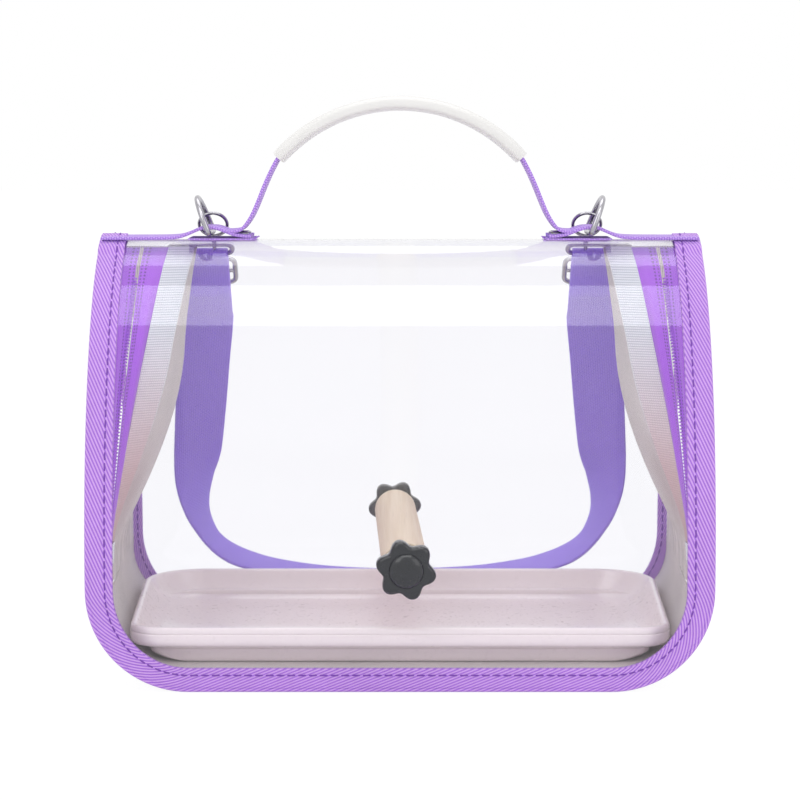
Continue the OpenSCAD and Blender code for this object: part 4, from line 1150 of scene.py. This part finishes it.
def strap_rows():
    """Middle line of the strap and the direction across it, from the left loop to the right one."""
    back, low, rise = HALF_D + 15, 19.0, 27.5
    on = lambda d: np.array([-STRAP_X, BAR[1], BAR[2]]) + d * RUN
    top = on(RUN_LEN)[2]

    def off(out, down, gap):
        z = top + down * (low + rise - top)
        return np.array([-STRAP_X - out, half_out(z) + gap, z])

    loop = lambda out, up, fore=0.0: (-out * STRAP_X, back - fore, low + up * rise)
    rows = [
        (on(2.2), (1, 0, 0)), (on(19.5), (1, 0, 0)), (on(RUN_LEN - 7), (1, 0, 0)), (on(RUN_LEN), (1, 0.03, 0)),
        (off(2.5, 0.19, 2.5), (1, 0.08, 0)), (off(5, 0.41, 5), (1, 0.25, 0)), (off(7.5, 0.64, 8.5), (1, 0.5, 0)),
        (off(9.5, 0.78, 11), (0.75, 0.8, 0)), (off(9.2, 0.9, 12.8), (0.5, 1, 0.02)),
        (loop(1.072, 1, 1), (0.25, 1, 0.12)), (loop(1.011, 0.65, 0.5), (0.08, 1, 0.16)),
        (loop(0.918, 0.4), (0, 1, 0.2)), (loop(0.783, 0.23), (0, 1, 0.14)), (loop(0.63, 0.13), (0, 1, 0.08)),
        (loop(0.38, 0.04), (0, 1, 0.03)), (loop(0, 0), (0, 1, 0)),
    ]
    mid = np.array([r[0] for r in rows], float)
    wide = unit(np.array([r[1] for r in rows], float))
    return mirrored(mid), mirrored(wide)


def make_strap():
    """Shoulder strap: flat webbing carried along the strap's line, with a sewn turn round each loop's lower bar."""
    mid, wide = strap_rows()
    path = spline(mid, 14)
    i = np.linspace(0, len(wide) - 1, len(path))
    across = unit(np.stack([np.interp(i, np.arange(len(wide)), wide[:, k]) for k in range(3)], -1))
    d = tangents(path)
    face = unit(np.cross(d, across))
    across = unit(np.cross(face, d))
    s = sweep(Shape(), path, across, face, flat_section(WEB_W, WEB_T))
    a = np.linspace(-0.5 * math.pi - 0.25, math.pi + 0.25, 30)
    r = 1.2 + 0.15 + WEB_T / 2
    turn = BAR + r * (np.cos(a)[:, None] * RUN_OUT - np.sin(a)[:, None] * RUN)
    tail = turn[-1] + np.linspace(0, 1, 24)[1:, None] * (26 * RUN + (r - 1.45) * RUN_OUT)
    for side in (-1, 1):
        line = np.vstack([turn, tail]) * [side, 1.0, 1.0]
        sv = np.broadcast_to([1.0, 0, 0], line.shape)
        sweep(s, line, sv, np.cross(tangents(line), sv), flat_section(WEB_W - 0.3, WEB_T))
    cloth = webbing_cloth("strap webbing", colours().strap, colours().strap_dark, Yarn=1.1, Pick=1.7)
    s.piece("shoulder_strap_web", cloth, "strap", ["shoulder_strap"], "purple_webbing", merge=0.0005)


# Perch and tray


def perch_place(p, side):
    """Carries points from the perch's own frame, z out of that end, into the bag's."""
    ca, sa = math.cos(PERCH_TURN), math.sin(PERCH_TURN)
    x, y, z = p[..., 0], p[..., 1], p[..., 2]
    fx, fy, fz = (x, -z, y) if side < 0 else (-x, z, y)
    return np.stack([ca * fx - sa * fy, sa * fx + ca * fy, fz + PERCH_Z], -1)


def make_perch():
    """Turned rod with a small round on each end edge and a socket for the insert in each end."""
    half = float(half_out(PERCH_Z + 10)) - SHEET_T - 0.3
    wall = np.stack([np.full(60, 10.0), np.linspace(0, half - 0.6, 60)], -1)
    end = [[9.85, half - 0.2], [9.5, half], [4.2, half], [4.0, half - 0.2], [4.0, half - 16], [0.01, half - 16]]
    p = turned(np.vstack([wall, end]), 72)
    c = colours()
    s = Shape()
    for side in (-1, 1):
        s.grid(perch_place(p, side), close_v=True)
    wood = wood_material("turned wood", c.wood_light, c.wood_dark)
    s.piece("perch_wood", wood, "bag", ["perch_rod"], "wood")


def make_knob(side, tag):
    """Knob: height rises along the profile while the outline changes from a circle to six lobes and back.

    Outline radius at angle a: KNOB_R + LOBE cos 6a - 0.08 cos 12a.
    """
    n = 144
    a = around(n)
    turn = a - math.radians(46 if side < 0 else 55)
    lobes = sizes().lobes
    star = KNOB_R + LOBE * np.cos(lobes * turn) - 0.08 * np.cos(2 * lobes * turn)
    prof = [(KNOB_BORE, 0), (6.5, 0), (6.9, 0.15), (6.9, 2.9)]
    prof += [(share * star, z) for share, z in (
        (0.88, 3.0), (0.94, 3.15), (0.98, 3.6), (1, 4.3), (1, 7.9), (0.985, 8.8), (0.95, 9.5), (0.89, 9.9),
        (0.84, 10.0))]
    prof += [(7.42 * math.cos(t), 10.05 + 2.95 * math.sin(t)) for t in np.linspace(0, math.pi / 2, 9)[:-1]]
    prof += [(0.01, 13.0)]
    r = np.array([np.broadcast_to(radius, n) for radius, _ in prof])
    z = np.broadcast_to(np.array([[z] for _, z in prof]) + HALF_D + KNOB_GAP, r.shape)
    black = plastic_material("knob plastic", colours().knob, 0.3, 1500.0, 0.02, 0.05, 0.4)
    s = Shape().grid(perch_place(np.stack([r * np.cos(a), r * np.sin(a), z], -1), side), close_v=True)
    base, deep = HALF_D + KNOB_GAP, HALF_D + 9.4
    s.grid(perch_place(turned([[KNOB_BORE, base], [KNOB_BORE, deep], [0.01, deep]], n), side), close_v=True)
    s.piece(tag + "_knob_lobed", black, tag + "_knob", [tag + "_knob"], "knob")


def tray_outline(in_x, in_y, n=24):
    """Plan of the tray drawn in at its ends and sides: straight front and back, sides that spread to the back."""
    front, back = TRAY_FRONT + in_y, TRAY_BACK - in_y
    flare = math.atan((TRAY_BACK_HALF - TRAY_FRONT_HALF) / (TRAY_BACK - TRAY_FRONT))
    fr, br = max(1.0, 14 - in_y), max(1.0, 28 - in_y)
    fx = TRAY_FRONT_HALF - in_x + (in_y + fr) * math.tan(flare) - fr / math.cos(flare)
    bx = TRAY_BACK_HALF - in_x - (in_y + br) * math.tan(flare) - br / math.cos(flare)
    right = np.vstack([
        polar(np.linspace(-math.pi / 2, -flare, n), fr) + [fx, front + fr],
        polar(np.linspace(-flare, math.pi / 2, n), br) + [bx, back - br],
    ])
    return np.vstack([right, (right * [-1, 1])[::-1]])


def make_tray():
    """Moulded tray: its plan carried up the outside of its wall, over the rim and down the hollow inside.

    Each step gives how far the plan is drawn in at the ends and at the sides, and its height.
    """
    steps = [
        (60, 40, 0.0), (28, 14, 0.0), (21, 9.2, 0.0), (19.4, 8.8, 0.2), (16.5, 8.6, 0.8), (13.5, 8.5, 1.7),
        (10.6, 8.5, 2.9), (9.0, 8.5, 4.0), (8.6, 8.5, 5.0), (8.5, 8.4, 6.6), (8.0, 8.0, 7.5), (7.0, 7.0, 7.8),
        (2.6, 2.6, 7.85), (1.6, 1.6, 8.0), (0.7, 0.7, 8.6), (0.2, 0.2, 9.5), (0, 0, 10.6), (0, 0, 13.0),
        (0.08, 0.08, 13.3), (0.42, 0.42, 13.6), (0.14, 0.14, 13.9), (0.1, 0.1, 14.4), (0.2, 0.2, 15.6),
        (0.5, 0.5, 16.25), (1.1, 1.1, 16.6), (1.9, 1.9, 16.6), (2.5, 2.5, 16.3), (3.0, 3.0, 15.6), (3.7, 3.5, 14.0),
        (5.2, 4.6, 11.2), (7.2, 6.0, 8.4), (9.6, 7.8, 6.0), (12.4, 9.9, 4.4), (16, 12.6, 3.3), (21, 16.5, 2.6),
        (28, 22, 2.35), (40, 30, 2.3), (60, 44, 2.3),
    ]
    rows = np.array([np.column_stack([tray_outline(ix, iy), np.full(96, TRAY_Z + z)]) for ix, iy, z in steps])
    centre = lambda row: np.broadcast_to(row.mean(0), row.shape)[None]
    p = np.concatenate([centre(rows[0]), rows, centre(rows[-1])])
    gloss = plastic_material("tray plastic", colours().tray, 0.3, 600.0, 0.04, 0.02, 0.6, 0.15)
    Shape().grid(p, close_v=True).piece("tray_moulded", gloss, "tray", ["tray"], "tray")


def dress_metal():
    """CAD pieces whose shape is right get a rounded edge and their finish."""
    steel = ("left_zip_slider", "right_zip_slider", "left_zip_pull", "right_zip_pull", "front_stud", "back_stud")
    brass = metal_material("turned brass", srgb(190, 158, 104), 0.3)
    chosen = {**dict.fromkeys(steel, metal()), "front_insert": brass, "back_insert": brass}
    for node, finish in chosen.items():
        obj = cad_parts[node]
        for slot in obj.material_slots:
            slot.material = finish
        if not obj.material_slots:
            obj.data.materials.append(finish)
        join = obj.modifiers.new("join", "WELD")
        join.merge_threshold = 0.000002
        edge = obj.modifiers.new("edge", "BEVEL")
        edge.width = 0.00018
        edge.segments = 2
        edge.limit_method = "ANGLE"
        edge.angle_limit = math.radians(35)


# Stage


def area_lamp(name, place_at, aim, size, power):
    """A soft rectangular lamp pointed at a spot."""
    data = bpy.data.lights.new(name, "AREA")
    data.shape = "RECTANGLE"
    data.size, data.size_y = size
    data.energy = power
    obj = bpy.data.objects.new(name, data)
    bpy.context.collection.objects.link(obj)
    obj.location = place_at
    obj.rotation_euler = (Vector(aim) - Vector(place_at)).to_track_quat("-Z", "Y").to_euler()
    return obj


def make_camera(scene):
    """The camera, at the photograph's angle."""
    lens = bpy.data.cameras.new("view")
    lens.sensor_width, lens.lens = 36.0, 36.0 * FOCAL_PX / VIEW_PX
    lens.clip_end = 50
    camera = bpy.data.objects.new("view", lens)
    bpy.context.collection.objects.link(camera)
    camera.location = CAMERA_AT
    camera.rotation_euler = (math.radians(90 - CAMERA_DOWN), 0, 0)
    scene.camera = camera


def make_world(scene):
    """A world that is pure white where it is seen, and softer as a light."""
    world = scene.world or bpy.data.worlds.new("studio")
    scene.world = world
    world.use_nodes = True
    world.node_tree.nodes.clear()
    k = Nodes(world.node_tree)
    path = k.add("LightPath").outputs
    through = k.math("MAXIMUM", path["Is Glossy Ray"], path["Is Transmission Ray"])
    seen = k.math("MAXIMUM", path["Is Camera Ray"], through)
    soft = k.add("Background", {0: (0.96, 0.97, 1.0, 1), 1: 0.86})
    white = k.add("Background", {0: (1, 1, 1, 1), 1: 1.0})
    mix = k.add("MixShader", {0: seen, 1: soft.outputs[0], 2: white.outputs[0]})
    k.put(k.add("OutputWorld").inputs[0], mix.outputs[0])


def make_ground():
    """The pale floor, which is nearly white to the camera."""
    m, k, p = material("pale floor")
    p.inputs["Base Color"].default_value = (0.96, 0.96, 0.96, 1)
    p.inputs["Roughness"].default_value = 0.8
    glow = k.add("Emission", {0: (1, 1, 1, 1), 1: 1.05})
    path = k.add("LightPath").outputs
    seen = k.math("MAXIMUM", path["Is Camera Ray"], path["Is Transmission Ray"])
    mix = k.add("MixShader", {0: k.math("MULTIPLY", seen, 0.9), 1: p.outputs[0], 2: glow.outputs[0]})
    k.put(k.surface, mix.outputs[0])
    mesh = bpy.data.meshes.new("floor_plane")
    mesh.from_pydata([[-6, -6, 0], [6, -6, 0], [6, 8, 0], [-6, 8, 0]], [], [[0, 1, 2, 3]])
    mesh.materials.append(m)
    floor = bpy.data.objects.new("floor_plane", mesh)
    bpy.context.collection.objects.link(floor)


def make_lamps():
    """Three soft lamps, and two long softboxes that are only seen as reflections in the clear sheet."""
    area_lamp("key", (-0.9, -1.1, 1.3), (0, 0, 0.1), (0.9, 0.9), 4.6)
    area_lamp("fill", (1.1, -0.9, 0.8), (0, 0, 0.1), (0.9, 0.9), 2.6)
    top = area_lamp("top", (0, 0.1, 1.75), (0, 0.1, 0), (1.3, 1.3), 5.0)
    top.visible_glossy = top.visible_transmission = False
    for name, y, deep, level in (("softbox behind", 0.66, 0.9, 1.8), ("softbox in front", -0.5, 0.6, 2.3)):
        box = area_lamp(name, (0, y, 1.6), (0, y, 0), (1.3, deep), level * math.pi * 1.3 * deep)
        box.visible_diffuse = False


def make_stage():
    """Camera, white world, pale floor and soft lamps."""
    scene = bpy.context.scene
    scene.view_settings.view_transform = "Standard"
    make_camera(scene)
    make_world(scene)
    make_ground()
    make_lamps()


def operator(idname, label, doc, job):
    """One Operator class for a piece or a group of like pieces."""

    def execute(self, context):
        job()
        return {"FINISHED"}

    name = "CARRIER_OT_" + idname
    return type(name, (bpy.types.Operator,), {
        "bl_idname": "carrier." + idname, "bl_label": label, "__doc__": doc, "execute": execute,
        "bl_options": {"REGISTER", "UNDO"},
    })


def pair(low, high):
    """A job done at -1 and at +1, with the name of each end."""
    return lambda job: lambda: [job(-1, low), job(1, high)]


both_sides, front_and_back = pair("left", "right"), pair("front", "back")


STEPS = [
    operator("stage", "Stage", "Makes the camera, the floor, the world and the lamps", make_stage),
    operator("sheet", "Clear sheet", "Makes the clear vinyl sheet", make_sheet),
    operator("bindings", "Bindings", "Makes the twill bindings and their stitches", front_and_back(make_binding)),
    operator("floor", "Mesh floor", "Makes the mesh floor", make_floor),
    operator("gussets", "Side gussets", "Makes the zips, white tapes and side mesh", both_sides(make_gusset)),
    operator("ridge", "Ridge webbing", "Makes the webbing on the ridge and the rivets", both_sides(make_ridge)),
    operator("handle", "Handle", "Makes the webbing handle and its grip", make_handle),
    operator("rings", "Rings and sliders", "Makes the bent wire pieces", both_sides(make_rings)),
    operator("strap", "Shoulder strap", "Makes the shoulder strap", make_strap),
    operator("perch", "Perch", "Makes the turned perch", make_perch),
    operator("knobs", "Perch knobs", "Makes the lobed knobs", front_and_back(make_knob)),
    operator("tray", "Tray", "Makes the moulded tray", make_tray),
    operator("metal", "Small metal parts", "Finishes the sliders, pulls, studs and inserts", dress_metal),
]


class CARRIER_PT_panel(bpy.types.Panel):
    """Lists the carrier's pieces in the sidebar."""

    bl_label = "Clear bird carrier"
    bl_space_type = "VIEW_3D"
    bl_region_type = "UI"
    bl_category = "Carrier"

    def draw(self, context):
        for step in STEPS:
            self.layout.operator(step.bl_idname)
        for owner in (context.scene.carrier_colours, context.scene.carrier_sizes):
            for key in owner.__annotations__:
                self.layout.prop(owner, key)


CLASSES = [CarrierColours, CarrierSizes, *STEPS, CARRIER_PT_panel]


def register():
    for c in CLASSES:
        bpy.utils.register_class(c)
    bpy.types.Scene.carrier_colours = PointerProperty(type=CarrierColours)
    bpy.types.Scene.carrier_sizes = PointerProperty(type=CarrierSizes)


def unregister():
    del bpy.types.Scene.carrier_colours
    del bpy.types.Scene.carrier_sizes
    for c in reversed(CLASSES):
        bpy.utils.unregister_class(c)


def main():
    register()
    for step in STEPS:
        group_name, op = step.bl_idname.split(".")
        getattr(getattr(bpy.ops, group_name), op)()


if __name__ == "__main__":
    main()
